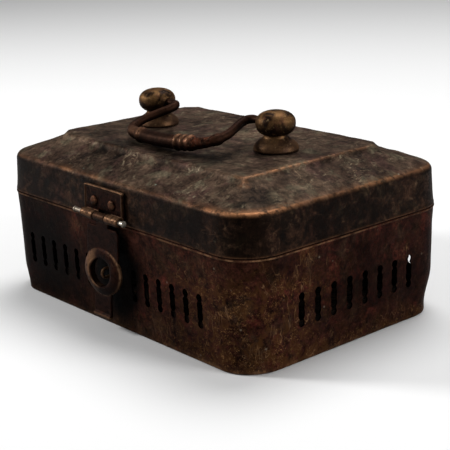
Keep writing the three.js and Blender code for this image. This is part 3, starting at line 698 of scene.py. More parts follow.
def make_hasp():
    strap, tail, tip = 14.6, 8.0, -57.4
    join, foot = acos(strap / RING_X), acos(tail / RING_X)
    right = ellipse_arc(0, RING_Z, RING_X, RING_HEIGHT, -foot, join, 26)
    right = [(tail, tip), (tail - 0.3, tip + 9)] + right + [(strap, -7.2), (strap - 1.4, -5.8)]
    flat = right + [(-x, z) for x, z in right[::-1]]
    # the ring is domed outwards: it rises in a rounded sweep from its rim to the eye
    dome = [(0, 0), (RING_X - 0.35, 0), (RING_X - 0.3, 0.5), (15.6, 1.15), (13.8, 1.85), (12.2, 2.25),
            (11.0, 2.4), (10.2, 2.25), (9.0, 1.8), (0, 1.6)]
    squash = Matrix.Diagonal((1, 1, RING_HEIGHT / RING_X, 1))
    curl = [(0, -tail), (1.2, -tail), (1.5, -tail + 0.4), (1.5, tail - 0.4), (1.2, tail), (0, tail)]
    plate = fused("hasp_strap", [
        prism("flat", flat, SHEET, hang(y=HASP_FRONT)),
        lathe("dome", dome, hang(y=HASP_FRONT + 0.2, z=RING_Z) @ squash @ TURN_X, 72),
        rod_x("knuckle", 2.5, HASP_X - 5.4, HASP_X + 5.4, HASP_Y, HASP_Z, 40),
        prism("web", rounded(-5.4, 5.4, -8, 0, 0.3), SHEET, hang(y=HASP_FRONT)),
        lathe("curl", curl, hang(y=HASP_FRONT + 0.3, z=tip) @ TURN_Y, 28),
    ], voxel=0.38, rounds=3)
    # the dome melts into the strap at the ring's top
    seat, to_local = HASP_FRONT - 0.1, hang().inverted()
    for vertex in plate.data.vertices:
        local = to_local @ (vertex.co / MM)
        rise = (local.z - RING_Z) / RING_HEIGHT
        out = hypot(local.x / RING_X, rise)
        top = step_up(0.1, 0.85, rise / max(out, 0.1)) * step_up(-1.2, -0.2, -out)
        if local.y < seat:
            local.y = seat + (local.y - seat) * (1 - 0.8 * top)
            vertex.co = hang() @ local * MM
    eye = lathe("eye", drill(EYE_RADIUS), hang(z=RING_Z) @ Matrix.Diagonal((1, 1, 0.88, 1)) @ TURN_X, 72)
    return sharpen(cut(plate, [eye, rod_x("bore", PIN_BORE, HASP_X - 9, HASP_X + 9, HASP_Y, HASP_Z)]), 50)


def make_hasp_plate():
    half, rise = PLATE_HALF, PLATE_TOP - HASP_Z
    face = -(BODY_Y + GAP + SHEET)
    place = at(PLATE_X, face, HASP_Z) @ Matrix.Rotation(-SKIRT_LEAN, 4, "X")
    # a rolled edge runs up the left side, across the top and down the right side
    left = [(-half + 0.6, 0.1, 1), (-half + 0.6, 0.1, rise * 0.6), (-half + 0.7, 0.1, rise - 1.6),
            (-half + 1.9, 0.1, rise - 0.6)]
    edge = curve_through(left + [(0, 0.1, rise - 0.5)] + [(-x, y, z) for x, y, z in left[::-1]], 0.8)
    parts = [prism("sheet", rounded(-half, half, -1.5, rise, 1.6), SHEET, place),
             tube("edge", [place @ Vector(p) for p in edge], [0.62] * len(edge), 12)]
    for side in (-1, 1):
        ends = sorted((HASP_X + side * 5.8, HASP_X + side * 17.4))
        parts.append(rod_x("knuckle", 2.8, *ends, HASP_Y, HASP_Z, 40))
        # the wrapped sheet runs down over the knuckle as a short web
        parts.append(prism("web", rounded(*ends, HASP_Z, HASP_Z + 5.5, 0.4), SHEET, at(0, face + 0.1, 0)))
    plate = fused("hasp_plate_sheet", parts, voxel=0.36, rounds=3)
    room = rounded(-5.8, 5.8, HASP_Z - 3.2, HASP_Z + 3.2, 0.5)
    cut(plate, [prism("room", room, 12, at(HASP_X, face - 8, 0))])
    return sharpen(cut(plate, [rod_x("bore", PIN_BORE, HASP_X - 25, HASP_X + 25, HASP_Y, HASP_Z)]), 50)


# ---- rear hinges


def make_leaf(label, side, up):
    """A hinge's leaf with its knuckles. up is 1 on the lid, which has the middle one, and -1 on the body."""
    centre, back = side * HINGE_X, BODY_Y + RIM_BEAD + GAP
    lean = SKIRT_LEAN if up > 0 else 0
    place = at(centre, back, HINGE_Z) @ Matrix.Rotation(lean, 4, "X")
    parts = [prism("leaf", rounded(-17, 17, *sorted((-up * 1.0, up * 14)), 2.2), 1.2, place)]
    for x0, x1 in [(-5.6, 5.6)] if up > 0 else [(-17, -6), (6, 17)]:
        parts.append(rod_x("knuckle", 2.6, centre + x0, centre + x1, HINGE_Y, HINGE_Z, 36))
    leaf = fused(f"hinge_{label}_{'lid' if up > 0 else 'body'}_leaf_sheet", parts, voxel=0.42, rounds=2)
    cut(leaf, [rod_x("bore", HINGE_BORE, centre - 25, centre + 25, HINGE_Y, HINGE_Z)])
    # room for the other leaf's knuckles
    for x0, x1 in [(-18.5, -5.6), (5.6, 18.5)] if up > 0 else [(-6, 6)]:
        room = rounded(centre + x0, centre + x1, HINGE_Z - 3, HINGE_Z + 3, 0.3)
        cut(leaf, [prism("room", room, 8, at(0, back - 1, 0))])
    return sharpen(leaf, 50)


# ---- tray


def make_tray():
    low, high = node_box("ember_tray")
    lip, corner = 0.5, 13.5
    lip_z, half_x, half_y = high[2] - 1.35, high[0] - lip, high[1] - lip
    levels = pan_levels(low[2], lip_z, half_x, half_y, corner, 2.4)
    for angle in np.linspace(0, pi / 2, 5)[1:]:
        out = lip * sin(angle)
        levels.append((lip_z + 0.6 * (1 - cos(angle)), half_x + out, half_y + out, corner + out, 0))

    def press(point, normal):
        flat = step_up(0, 14, min(high[0] - abs(point.x), high[1] - abs(point.y)))
        return -0.5 * flat * (waves(point, 36, 5.1) + 0.5)

    slits = []
    for column in range(-3, 4):
        for row in (-1, 1):
            place = at(column * 26, row * 30, low[2] - 2) @ TURN_X
            slits.append(prism("slit", rounded(-2, 2, -22, 22, 1.9), 8, place))
    return sharpen(cut(sheet_piece("ember_tray_pan", levels, 1.3, press), slits), 40)


def make_tray_foot(node):
    low, high = node_box(node)
    middle = (low + high) / 2
    radius, height = (high[0] - low[0]) / 2, high[2] - low[2]
    stem = [(0, 0), (radius * 0.7, 0), (radius * 0.78, 0.5), (radius * 0.84, height * 0.5)]
    flange = [(radius, height - 0.9), (radius, height - 0.3), (radius - 0.4, height), (0, height)]
    return sharpen(lathe(f"{node}_turning", stem + flange, at(middle[0], middle[1], low[2]), 36), 40)


# ---- wear, tone, painted shade and painted highlights


def rounded_depth(point, half_x, half_y, radius):
    """How far a point lies inside a rounded rectangle."""
    dx = abs(point.x) - (half_x - radius)
    dy = abs(point.y) - (half_y - radius)
    outside = hypot(max(dx, 0), max(dy, 0)) + min(max(dx, dy), 0)
    return radius - outside


# darker and paler places on the lid, partly patina and partly painted light: x, y, z, radius and tone
# painted: shade under the grip, highlights on the band's dents, a dark reflection on the front right corner
LID_TONES_SHADE_AND_HIGHLIGHTS = [
    (113, -76, 77, 22, -0.26), (100, -78, 78, 9, 0.10), (87, -78, 74, 9, 0.16), (74, -78, 78, 10, -0.16),
    (6, -46, 98, 20, -0.24), (-26, -44, 98, 18, -0.22), (10, 36, 98, 46, 0.30), (-60, 26, 98, 34, 0.18),
    (100, -52, 91, 18, -0.16), (78, -10, 98, 18, 0.14), (-62, -66, 91, 24, 0.26), (40, -58, 94, 14, 0.14),
    (-53, -55, 95.5, 10, 0.50), (-36, -57, 94.5, 9, -0.40), (-20, -56, 95, 10, -0.40),
    (-6, -57, 94.5, 10, 0.50), (12, -58, 94, 12, 0.46), (36, -60, 93, 18, 0.42), (62, -64, 91.5, 20, 0.42),
    (-84, -64, 91, 16, 0.20), (100, -60, 90, 22, -0.26), (-60, 74, 88, 30, -0.10), (-40, -78, 74, 24, 0.06),
    (112, -22, 78, 20, -0.06), (112, 50, 80, 20, 0.12), (70, -78, 70, 26, -0.12), (40, -36, 98, 24, -0.38),
    (-2, -30, 98, 22, -0.40), (-60, -40, 98, 18, -0.22), (-30, 30, 98, 26, 0.14), (66, 20, 98, 24, 0.16),
    (-70, 70, 88, 22, -0.24), (30, 78, 78, 20, 0.22), (-110, 10, 80, 26, -0.22),
]


# heights of the rubbed lines on the lid's shoulder and round its panel
SHOULDER_LINE, PANEL_LINE = 86.4, 97.8


def lid_tone(point, normal):
    """The lid's tone: 0.5 where plain, darker on the skirt, with the table's painted shade and highlights."""
    skirt = 1 - step_up(SHOULDER_Z - 3, SHOULDER_Z - 0.5, point.z)
    dark = 0.42 + 0.01 * step_up(100, 108, abs(point.x)) + 0.12 * step_down(-100, -50, point.x)
    return 0.58 - dark * skirt + marks(LID_TONES_SHADE_AND_HIGHLIGHTS, point)


def lid_wear(point, normal):
    """Rubbing and painted highlight: the shoulder, most at the front right corner, and the panel's edge."""
    depth = rounded_depth(point, BODY_X, BODY_Y, BODY_RADIUS)
    corner = hypot(point.x - 102, point.y + 66)
    place = 0.10 + 0.90 * bell(corner, 27)
    right = step_up(80, 104, point.x)
    place = max(place, 0.50 * right * step_up(-10, 10, point.y) * step_down(30, 46, point.y))
    place = max(place, 0.30 * right, 0.35 * step_up(40, 90, point.y))
    place = max(place, 0.42 * near(point, (-44, -74, 87), 12), 0.36 * near(point, (-15, -74, 87), 10))
    # upward-looking parts of the shoulder are brighter: a painted highlight as well as rubbing
    facing = step_up(0.1, 0.5, normal.z) * step_down(0.80, 0.97, normal.z)
    shoulder = bell(point.z - SHOULDER_LINE, 1.15) * step_down(5, 8, depth) * max(facing, 0.25)
    panel = rounded_depth(point, PANEL_X + 1, PANEL_Y + 1, 0.01)
    riser = bell(point.z - PANEL_LINE, 0.6) * bell(panel, 1.5)
    edge = 0.8 * bell(point.z - lid_low[2] - 0.3, 0.5)
    corner_ridge = 0.45 * near(point, (87, -54, 96), 5)
    right_edge = step_up(74, 83, point.x) * (0.25 + 0.45 * step_down(-30, 20, point.y))
    return max(shoulder * place, 0.8 * riser * max(0.05, right_edge), 0.8 * corner_ridge, 0.18 * edge)


def body_wear(point, normal):
    """Bright on the rolled rim, a little at the foot."""
    rim = bell(point.z - BODY_TOP + 0.8, 0.4)
    corner = bell(hypot(point.x - 96, point.y + 62), 40)
    foot = bell(point.z, 2.0)
    return max(rim * (0.35 + 0.5 * corner), foot * (0.14 + 0.5 * corner))


def body_rub(point, normal):
    """Where the walls are rubbed down to copper in flecks: round the near corner and low down."""
    corner = hypot((point.x - 100) / 1.3, point.y + 66)
    low = step_down(4, 26, point.z)
    near_corner = bell(corner, 34) * step_down(40, 60, point.z)
    foot = step_down(2, 10, point.z) * step_up(40, 100, point.x)
    return 0.85 * near_corner + 0.22 * low + 0.6 * foot + marks(BODY_RUBS, point) + 0.12


def hasp_shade(point):
    """How dark the wall is painted behind the hasp: it stands for the hasp's shadow and stays in any pose."""
    ragged = 1 + 0.22 * waves(point, 11, 3.7)
    middle = Vector((HASP_X + 5, -BODY_Y, 34))
    squashed = (point.x, point.y, middle.z + 0.8 * (point.z - middle.z))
    return min(1, 2.2 * near(squashed, middle, 29 * ragged))


# darker and paler places on the walls: x, y, z, radius and tone
BODY_TONES = [
    (110, -72, 34, 34, 0.14), (113, -34, 52, 24, 0.08), (113, 6, 34, 40, -0.16), (113, 50, 24, 30, -0.14),
    (113, -40, 10, 30, 0.14), (60, -78, 8, 30, -0.10), (71, -78, 44, 24, 0.06), (-36, -78, 54, 12, 0.24),
    (-70, -78, 30, 80, -0.42), (52, -78, 44, 20, 0.10), (113, -62, 56, 14, -0.16), (113, -12, 54, 16, 0.14),
    (113, 30, 50, 16, 0.12), (40, -78, 56, 18, -0.10),
]

# places on the walls that are scratched down to the copper: x, y, z, radius and how much
BODY_RUBS = [
    (113, -40, 41, 11, 0.9), (113.4, -36, 59, 8, 0.8), (113.4, -66, 58, 8, 0.8), (113, -55, 46, 10, 0.8),
    (113, -22, 38, 9, 0.6), (113, 40, 44, 8, 0.6), (95, -78, 26, 10, 0.7), (76, -78, 38, 7, 0.6),
    (-36, -78, 54, 9, 0.5),
]


def body_tone(point, normal):
    """The wall's place-to-place tone, 0.5 where it is plain, with the hasp's shadow painted in."""
    return 0.5 + marks(BODY_TONES, point) - 0.5 * hasp_shade(point)


def outwards(point):
    """The level direction in which the box's wall looks at a place on it."""
    x = point.x - min(max(point.x, BODY_RADIUS - BODY_X), BODY_X - BODY_RADIUS)
    y = point.y - min(max(point.y, BODY_RADIUS - BODY_Y), BODY_Y - BODY_RADIUS)
    return Vector((x, y, 0)).normalized()


def wall_soot(centre, normal):
    """Soot inside the box and on the vents' cut edges, by the way a face looks."""
    return 0.0 if centre.z > BODY_TOP - 2 or normal.dot(outwards(centre)) > 0.5 else 1.0


def lid_soot(centre, normal):
    """Soot under the lid: on faces that look down or inwards."""
    return 0.85 if normal.z < -0.25 or normal.dot(outwards(centre)) < -0.5 else 0.0


# the grip's rings and left end, rubbed, with painted highlights, brightest on their upper sides
def bail_wear(point, normal):
    rings = max(bell(point.x - x, 1.4) for x in (16.5, 21, 25.6))
    left = max(bell(point.x + 19, 2.2), 0.6 * bell(point.x + 27, 7))
    grip = step_up(34, 38, -point.y)
    return grip * max(0.7 * rings, 0.5 * left) * (0.15 + 0.85 * step_up(-0.2, 0.7, normal.z)) + 0.04


def bail_rust(point, normal):
    return step_up(18, 27, point.x) * step_down(35, 40, point.x) * step_up(12, 24, -point.y)


def hasp_wear(point, normal):
    """Ring's lip and outer edge, rubbed, with a painted highlight on the left; a painted highlight on the
    curled tip.
    """
    local = hang().inverted() @ Vector(point)
    out = hypot(local.x / RING_X, (local.z - RING_Z) / RING_HEIGHT)
    turn = atan2(local.z - RING_Z, local.x)
    # the ring's left side is brighter: a painted highlight as well as rubbing
    left = step_up(0.1, 0.7, -cos(turn - 0.2))
    low_right = step_up(-0.5, 0.4, cos(turn + 0.7))
    lip = bell(out - 0.66, 0.05) * left
    band = 0.55 * step_up(0.66, 0.72, out) * step_down(0.94, 1.0, out) * left
    rim = bell(out - 0.99, 0.035) * max(low_right, 0.6 * left)
    # a painted highlight on the curled tip
    tip = 0.7 * step_up(56.4, 58, -local.z)
    knuckle = step_down(2.9, 4.2, hypot(local.y, local.z))
    return max(0.8 * lip, band, 0.8 * rim, tip, 0.15 * knuckle)


# the plate's edges and knuckle, rubbed, with a painted highlight along the top edge
def plate_wear(point, normal):
    side = bell(abs(point.x - PLATE_X) - PLATE_HALF + 0.6, 0.7) * step_up(1.5, 2.5, point.z - HASP_Z)
    upper = bell(point.z - PLATE_TOP + 0.6, 0.8)
    knuckle = step_down(2.9, 3.6, hypot(point.y - HASP_Y, point.z - HASP_Z))
    return max(0.35 * side, 0.6 * upper, 0.55 * knuckle)


# ---- materials

# tarnish keeps the metal from mirroring white light at a glancing angle
EDGE_TINT = (0.36, 0.28, 0.22, 1)
SPECK_PITCH = 9
SCRATCH_PATCH = 17


def new_material(name):
    material = bpy.data.materials.new(name)
    material.use_nodes = True
    return material


class Finish:
    """A node material: short calls for the textures and mixes that the finishes share.

    A texture is noise's arguments: size in mm, detail, roughness, bend and seed.
    """

    def __init__(self, name):
        self.material = new_material(name)
        self.tree = self.material.node_tree
        self.place = self.node("ShaderNodeTexCoord").outputs["Object"]

    def node(self, kind, inputs=None, **settings):
        made = self.tree.nodes.new(kind)
        for key, value in settings.items():
            setattr(made, key, value)
        for key, value in (inputs or {}).items():
            self.feed(made.inputs[key], value)
        return made

    def feed(self, socket, value):
        if isinstance(value, bpy.types.NodeSocket):
            self.tree.links.new(value, socket)
        elif socket.type == "RGBA" and len(value) == 3:
            socket.default_value = (*value, 1)
        else:
            socket.default_value = value

    def noise(self, size, detail, rough, bend, seed, turn=(0, 0, 0), stretch=(1, 1, 1)):
        """Noise whose main bumps are about size mm across."""
        mapping = self.node("ShaderNodeMapping", {
            "Vector": self.place, "Rotation": [radians(a) for a in turn], "Scale": stretch,
            "Location": (0.13 * seed, -0.07 * seed, 0.05 * seed)})
        return self.node("ShaderNodeTexNoise", {
            "Vector": mapping.outputs["Vector"], "Scale": 1 / (size * MM), "Detail": detail,
            "Roughness": rough, "Distortion": bend}).outputs["Fac"]

    def fade(self, value, low, high, to_low=0.0, to_high=1.0):
        inputs = {"Value": value, "From Min": low, "From Max": high, "To Min": to_low, "To Max": to_high}
        return self.node("ShaderNodeMapRange", inputs, interpolation_type="SMOOTHSTEP").outputs["Result"]

    def blotch(self, texture, *limits):
        """Noise, faded between two of its values."""
        return self.fade(self.noise(*texture), *limits)

    def calc(self, operation, a, b):
        return self.node("ShaderNodeMath", {0: a, 1: b}, operation=operation).outputs[0]

    def times(self, first, *others):
        for other in others:
            first = self.calc("MULTIPLY", first, other)
        return first

    def mix(self, share, a, b, blend="MIX"):
        made = self.node("ShaderNodeMix", data_type="RGBA", blend_type=blend)
        for socket, value in ((0, share), (6, a), (7, b)):
            self.feed(made.inputs[socket], value)
        return made.outputs[2]

    def over(self, colour, top, *shares):
        """Lays a colour over another, as far as the product of the shares."""
        return self.mix(self.times(*shares), colour, top)

    def ground(self, texture, low, high, dark, light):
        """A blotchy mix of two colours."""
        return self.mix(self.blotch(texture, low, high), dark, light)

    def blotched(self, colour, *rows):
        """Lays blotches over a colour: their own colour, share, limits and texture."""
        for top, share, low, high, *texture in rows:
            colour = self.over(colour, top, self.blotch(texture, low, high), share)
        return colour

    def tint(self, colour, *shares):
        """Multiplies a colour by grey values."""
        value = self.times(*shares)
        grey = self.node("ShaderNodeCombineColor", {0: value, 1: value, 2: value}).outputs[0]
        return self.mix(1.0, colour, grey, "MULTIPLY")

    def stored(self, name):
        return self.node("ShaderNodeAttribute", attribute_name=name).outputs["Fac"]

    def height_of(self, vector):
        return self.node("ShaderNodeSeparateXYZ", {"Vector": vector}).outputs["Z"]

    def painted_underside_shade(self, low, high):
        """How far a surface looks down: painted shade, darker on undersides."""
        normal = self.node("ShaderNodeTexCoord").outputs["Normal"]
        return self.fade(self.height_of(normal), low, high, 0.85, 0.0)

    def scratches(self, *sets):
        """Thin broken lines: where stretched noise crosses its middle value, in patches.

        A set is the size in mm, the lines' width as a step of the noise, the turn, the stretch and the seed.
        """
        lines = None
        for size, width, turn, stretch, seed in sets:
            field = self.noise(size, 2.0, 0.5, 0.4, seed, turn, stretch)
            line = self.calc("ABSOLUTE", self.calc("SUBTRACT", field, 0.5), 0.0)
            patch = self.blotch((SCRATCH_PATCH, 2.0, 0.5, 0.0, seed + 3), 0.54, 0.66)
            thin = self.times(self.fade(line, 0.0, width, 1.0, 0.0), patch)
            lines = self.calc("MAXIMUM", lines, thin) if lines else thin
        return lines

    def specks(self, texture):
        """Round specks, in patches."""
        cells = self.node("ShaderNodeTexVoronoi", {"Vector": self.place, "Scale": 1 / (SPECK_PITCH * MM)})
        round_spots = self.fade(cells.outputs["Distance"], 0.04, 0.09, 1, 0)
        return self.times(round_spots, self.blotch(texture, 0.5, 0.6))

    def polish(self, grain, wear, low, high):
        """Roughness that follows the grain, and is lower where the metal is rubbed bright and where
        highlights are painted.
        """
        return self.fade(self.calc("ADD", grain, self.times(wear, -0.4)), 0.1, 0.8, low, high)

    def bump(self, height, distance, normal=None):
        inputs = {"Height": height, "Distance": distance * MM, "Strength": 1.0}
        if normal is not None:
            inputs["Normal"] = normal
        return self.node("ShaderNodeBump", inputs).outputs["Normal"]

    def scored(self, grain, hairs, depth, relief):
        """Adds the grain to a relief, with the scratches cut into it."""
        return self.bump(self.calc("SUBTRACT", grain, self.times(hairs, 0.6)), depth, relief)

    def finish(self, colour, rough, normal, metallic, specular):
        inputs = self.tree.nodes["Principled BSDF"].inputs
        for name, value in (("Base Color", colour), ("Roughness", rough), ("Normal", normal)):
            self.feed(inputs[name], value)
        inputs["Metallic"].default_value = metallic
        inputs["Specular IOR Level"].default_value = specular
        inputs["Specular Tint"].default_value = EDGE_TINT
        return self.material


def body_finish():
    """Dark red-brown patina over copper: mottled, flecked and pitted, with hair scratches."""
    f = Finish("dark_copper_patina")
    colour = f.ground((46, 5, 0.6, 0.3, 1), 0.34, 0.62, (0.0145, 0.0044, 0.0034), (0.03, 0.0098, 0.0066))
    # olive, red and soot
    colour = f.blotched(colour, ((0.024, 0.015, 0.009), 0.6, 0.50, 0.64, 24, 4, 0.65, 0.5, 2),
                        ((0.05, 0.0115, 0.008), 0.7, 0.53, 0.66, 13, 5, 0.65, 0.3, 3),
                        ((0.006, 0.0034, 0.0036), 0.6, 0.55, 0.70, 26, 4, 0.6, 0.2, 4))
    grain = f.noise(1.3, 4, 0.75, 0, 5)
    mottle = f.blotch((4.5, 5, 0.7, 0.4, 15), 0.30, 0.70, 0.35, 1.8)
    colour = f.tint(colour, mottle, f.fade(grain, 0.28, 0.72, 0.45, 1.7))
    # rubbed down to golden copper, and to bright flecks of it
    rub = f.stored("rub")
    colour = f.over(colour, (0.06, 0.025, 0.0088), f.blotch((7, 5, 0.75, 0.6, 16), 0.42, 0.62), rub, 0.85)
    colour = f.over(colour, (0.2, 0.098, 0.04), f.blotch((1.5, 5, 0.85, 0.8, 6), 0.53, 0.62),
                    f.blotch((10, 4, 0.7, 0.6, 7), 0.44, 0.56), rub)
    hairs = f.scratches((6, 0.012, (8, 12, 0), (1, 1, 0.3), 11), (7, 0.012, (30, 36, 40), (1, 1, 0.3), 12),
                        (8, 0.007, (0, 0, 0), (1, 1, 0.8), 13))
    colour = f.over(colour, (0.19, 0.1, 0.05), hairs, f.fade(rub, 0.0, 0.6, 0.20, 0.8))
    colour = f.over(colour, (0.16, 0.125, 0.095), f.specks((18, 2, 0.5, 0, 9)), 0.7)
    # the stored tone holds the hasp's painted shadow on the wall
    colour = f.tint(colour, f.fade(f.stored("tone"), 0.0, 1.0, 0.04, 1.34))
    wear = f.times(f.stored("wear"), f.blotch((7, 5, 0.7, 0, 14), 0.42, 0.6, 0.15, 1.0))
    colour = f.over(colour, (0.26, 0.14, 0.072), wear)
    colour = f.over(colour, (0.002, 0.0015, 0.0014), f.stored("soot"))
    relief = f.scored(grain, hairs, 0.06, f.bump(f.noise(5.5, 5, 0.65, 0.2, 8), 0.30))
    return f.finish(colour, f.polish(grain, wear, 0.40, 0.66), relief, 0.3, 0.03)


def lid_finish():
    """Olive-brown hammered copper, paler on the slopes, verdigris flecks, a rubbed shoulder with a painted
    highlight.
    """
    f = Finish("olive_patina_lid")
    colour = f.ground((36, 5, 0.65, 0.5, 21), 0.38, 0.60, (0.023, 0.0135, 0.0095), (0.054, 0.035, 0.0235))
    # purple, green and soot
    colour = f.blotched(colour, ((0.038, 0.019, 0.0165), 0.6, 0.52, 0.66, 22, 4, 0.6, 0.4, 22),
                        ((0.064, 0.056, 0.036), 0.6, 0.52, 0.66, 14, 5, 0.65, 0.6, 23),
                        ((0.01, 0.0066, 0.0058), 0.75, 0.54, 0.68, 15, 5, 0.65, 0.4, 24))
    grain = f.noise(1.4, 4, 0.75, 0, 25)
    mottle = f.blotch((4.2, 5, 0.7, 0.5, 36), 0.28, 0.72, 0.5, 1.55)
    colour = f.tint(colour, mottle, f.fade(grain, 0.25, 0.75, 0.55, 1.5))
    # pale flakes, hair scratches and verdigris
    flakes = f.blotch((3.0, 5, 0.75, 0.8, 26, (0, 0, 35), (1, 0.5, 1)), 0.55, 0.63)
    colour = f.over(colour, (0.165, 0.132, 0.086), flakes, f.blotch((18, 3, 0.6, 0.5, 27), 0.46, 0.60), 0.6)
    hairs = f.scratches((5, 0.012, (0, 0, 25), (0.2, 1, 1), 31), (4.5, 0.012, (15, 0, 70), (1, 0.2, 1), 32),
                        (5, 0.010, (0, 0, 0), (1, 1, 0.8), 33))
    colour = f.over(colour, (0.17, 0.12, 0.075), hairs, 0.55)
    colour = f.over(colour, (0.17, 0.20, 0.16), f.specks((26, 2, 0.5, 0, 28)), 0.7)
    # the stored tone holds painted shade under the grip and painted highlights on the band's dents
    tone = f.calc("ADD", f.stored("tone"), f.blotch((7, 5, 0.7, 0.6, 35), 0.3, 0.7, -0.2, 0.2))
    colour = f.tint(colour, f.fade(tone, 0.0, 1.0, 0.10, 1.9))
    # redder below the shoulder
    skirt = f.fade(f.height_of(f.place), 0.083, 0.088, 1.0, 0.0)
    colour = f.mix(skirt, colour, (1.0, 0.76, 0.68), "MULTIPLY")
    # bright: rubbed metal and painted highlights on the shoulder and the panel's edge
    wear = f.times(f.stored("wear"), f.blotch((5.5, 5, 0.7, 0.2, 34), 0.36, 0.56, 0.1, 1.0))
    colour = f.over(colour, (0.48, 0.215, 0.098), wear)
    colour = f.over(colour, (0.005, 0.0036, 0.003), f.stored("soot"))
    relief = f.scored(grain, hairs, 0.07, f.bump(f.noise(7, 5, 0.65, 0.3, 29), 0.42))
    return f.finish(colour, f.polish(grain, wear, 0.36, 0.66), relief, 0.55, 0.16)


def brass_finish():
    """Golden-brown turned brass, blotched black, with painted shade on its undersides."""
    f = Finish("mottled_brass")
    colour = f.ground((9, 5, 0.65, 0.5, 41), 0.36, 0.60, (0.008, 0.0038, 0.0026), (0.135, 0.07, 0.0275))
    colour = f.blotched(colour, ((0.085, 0.034, 0.02), 0.5, 0.54, 0.68, 5, 4, 0.6, 0.3, 42))
    # painted shade: darker where the surface looks down
    colour = f.over(colour, (0.006, 0.003, 0.002), f.painted_underside_shade(-0.35, 0.5))
    # the posts' flared feet are redder than their balls
    colour = f.over(colour, (0.07, 0.036, 0.021), f.fade(f.height_of(f.place), 0.103, 0.108, 0.6, 0.0))
    grain = f.noise(0.9, 4, 0.7, 0, 43)
    colour = f.tint(colour, f.fade(grain, 0.25, 0.75, 0.65, 1.4))
    colour = f.blotched(colour, ((0.3, 0.2, 0.1), 0.6, 0.60, 0.70, 2.2, 4, 0.7, 0.3, 44))
    relief = f.bump(grain, 0.03, f.bump(f.noise(3.0, 4, 0.6, 0.2, 45), 0.12))
    return f.finish(colour, f.fade(grain, 0.2, 0.8, 0.36, 0.62), relief, 0.65, 0.25)


def worn_finish(name, dark, light, bright, seed):
    """Handled copper: patina, stored red corrosion, stored bright metal and painted highlights, painted shade
    below.
    """
    f = Finish(name)
    colour = f.ground((10, 5, 0.62, 0.3, seed), 0.36, 0.62, dark, light)
    # corrosion: a dark ground, red crust and pale specks
    rust = f.stored("rust")
    specks = f.blotch((1.1, 5, 0.85, 0.4, seed + 6), 0.57, 0.63)
    colour = f.over(colour, (0.0055, 0.0026, 0.0022), rust, 0.8)
    colour = f.over(colour, (0.07, 0.02, 0.0105), rust, f.blotch((2.6, 5, 0.7, 0.4, seed + 1), 0.42, 0.58))
    colour = f.over(colour, (0.24, 0.135, 0.085), specks, 0.8, rust)
    grain = f.noise(1.0, 4, 0.7, 0, seed + 2)
    colour = f.tint(colour, f.fade(grain, 0.25, 0.75, 0.6, 1.45))
    hairs = f.scratches((7, 0.012, (20, 30, 15), (1, 1, 0.12), seed + 3))
    colour = f.over(colour, (0.1, 0.055, 0.034), hairs, 0.35)
    # bright: rubbed metal, and the painted highlights and glint that some pieces store
    wear = f.times(f.stored("wear"), f.blotch((2.4, 4, 0.65, 0.2, seed + 4), 0.32, 0.55, 0.2, 1.0))
    colour = f.over(colour, bright, wear)
    # painted shade: darker where the surface looks down
    colour = f.over(colour, (0.0026, 0.0012, 0.001), f.painted_underside_shade(-0.4, 0.4))
    relief = f.bump(grain, 0.04, f.bump(f.noise(3.2, 4, 0.6, 0.2, seed + 5), 0.12))
    return f.finish(colour, f.polish(grain, wear, 0.34, 0.60), relief, 0.45, 0.05)


def iron_finish():
    """Sooty sheet iron with brown rust blooms and pale ash dust."""
    f = Finish("sooty_iron_scale")
    colour = f.ground((16, 5, 0.6, 0.3, 71), 0.38, 0.62, (0.012, 0.01, 0.009), (0.03, 0.022, 0.018))
    colour = f.blotched(colour, ((0.075, 0.03, 0.016), 0.75, 0.54, 0.68, 7, 5, 0.65, 0.4, 72),
                        ((0.1, 0.095, 0.09), 0.5, 0.60, 0.74, 4, 5, 0.7, 0.3, 73))
    grain = f.noise(1.1, 4, 0.7, 0, 74)
    colour = f.tint(colour, f.fade(grain, 0.25, 0.75, 0.6, 1.4))
    relief = f.bump(f.noise(2.4, 5, 0.65, 0.2, 75), 0.12)
    return f.finish(colour, f.fade(grain, 0.2, 0.8, 0.60, 0.86), relief, 0.55, 0.3)


# ---- assembly

finishes = {
    "dark_copper": body_finish(),
    "olive_patina": lid_finish(),
    "turned_brass": brass_finish(),
    "sooty_iron": iron_finish(),
    # the finish's own name, then its dark, light and bright colours and its seed
    "worn_bail": worn_finish("worn_bail_copper", (0.0085, 0.0034, 0.0025), (0.026, 0.0105, 0.0062),
                             (0.22, 0.112, 0.062), 51),
    # its bright colour is near white: a painted glint on the hasp pin's right end
    "pin_painted_glint": worn_finish("pin_with_painted_glint", (0.1, 0.07, 0.045), (0.3, 0.24, 0.18),
                              (0.75, 0.68, 0.58), 81),
    "worn_hasp": worn_finish("worn_hasp_copper", (0.0036, 0.0014, 0.0011), (0.0084, 0.0033, 0.0023),
                             (0.24, 0.13, 0.07), 61),
}


def paint(obj, name, rule):
    """Stores a value from 0 to 1 on each vertex, or on each face for soot.

    The rule is a number, or a function of a place in mm and the normal there.
    """
    faces = name == "soot"
    layer = obj.data.attributes.new(name, "FLOAT", "FACE" if faces else "POINT")
    for part in obj.data.polygons if faces else obj.data.vertices:
        place = part.center if faces else part.co
        value = rule(place / MM, part.normal) if callable(rule) else rule
        layer.data[part.index].value = min(max(value, 0), 1)


def add(obj, node, body, slot, finish=None, **rules):
    """Puts a piece into the object: its finish, its stored wear and painted light, its CAD node and the body
    that it moves with.
    """
    for name, rule in rules.items():
        paint(obj, name, rule)
    obj.data.materials.clear()
    obj.data.materials.append(finishes[finish or slot])
    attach(obj, body)
    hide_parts(node)


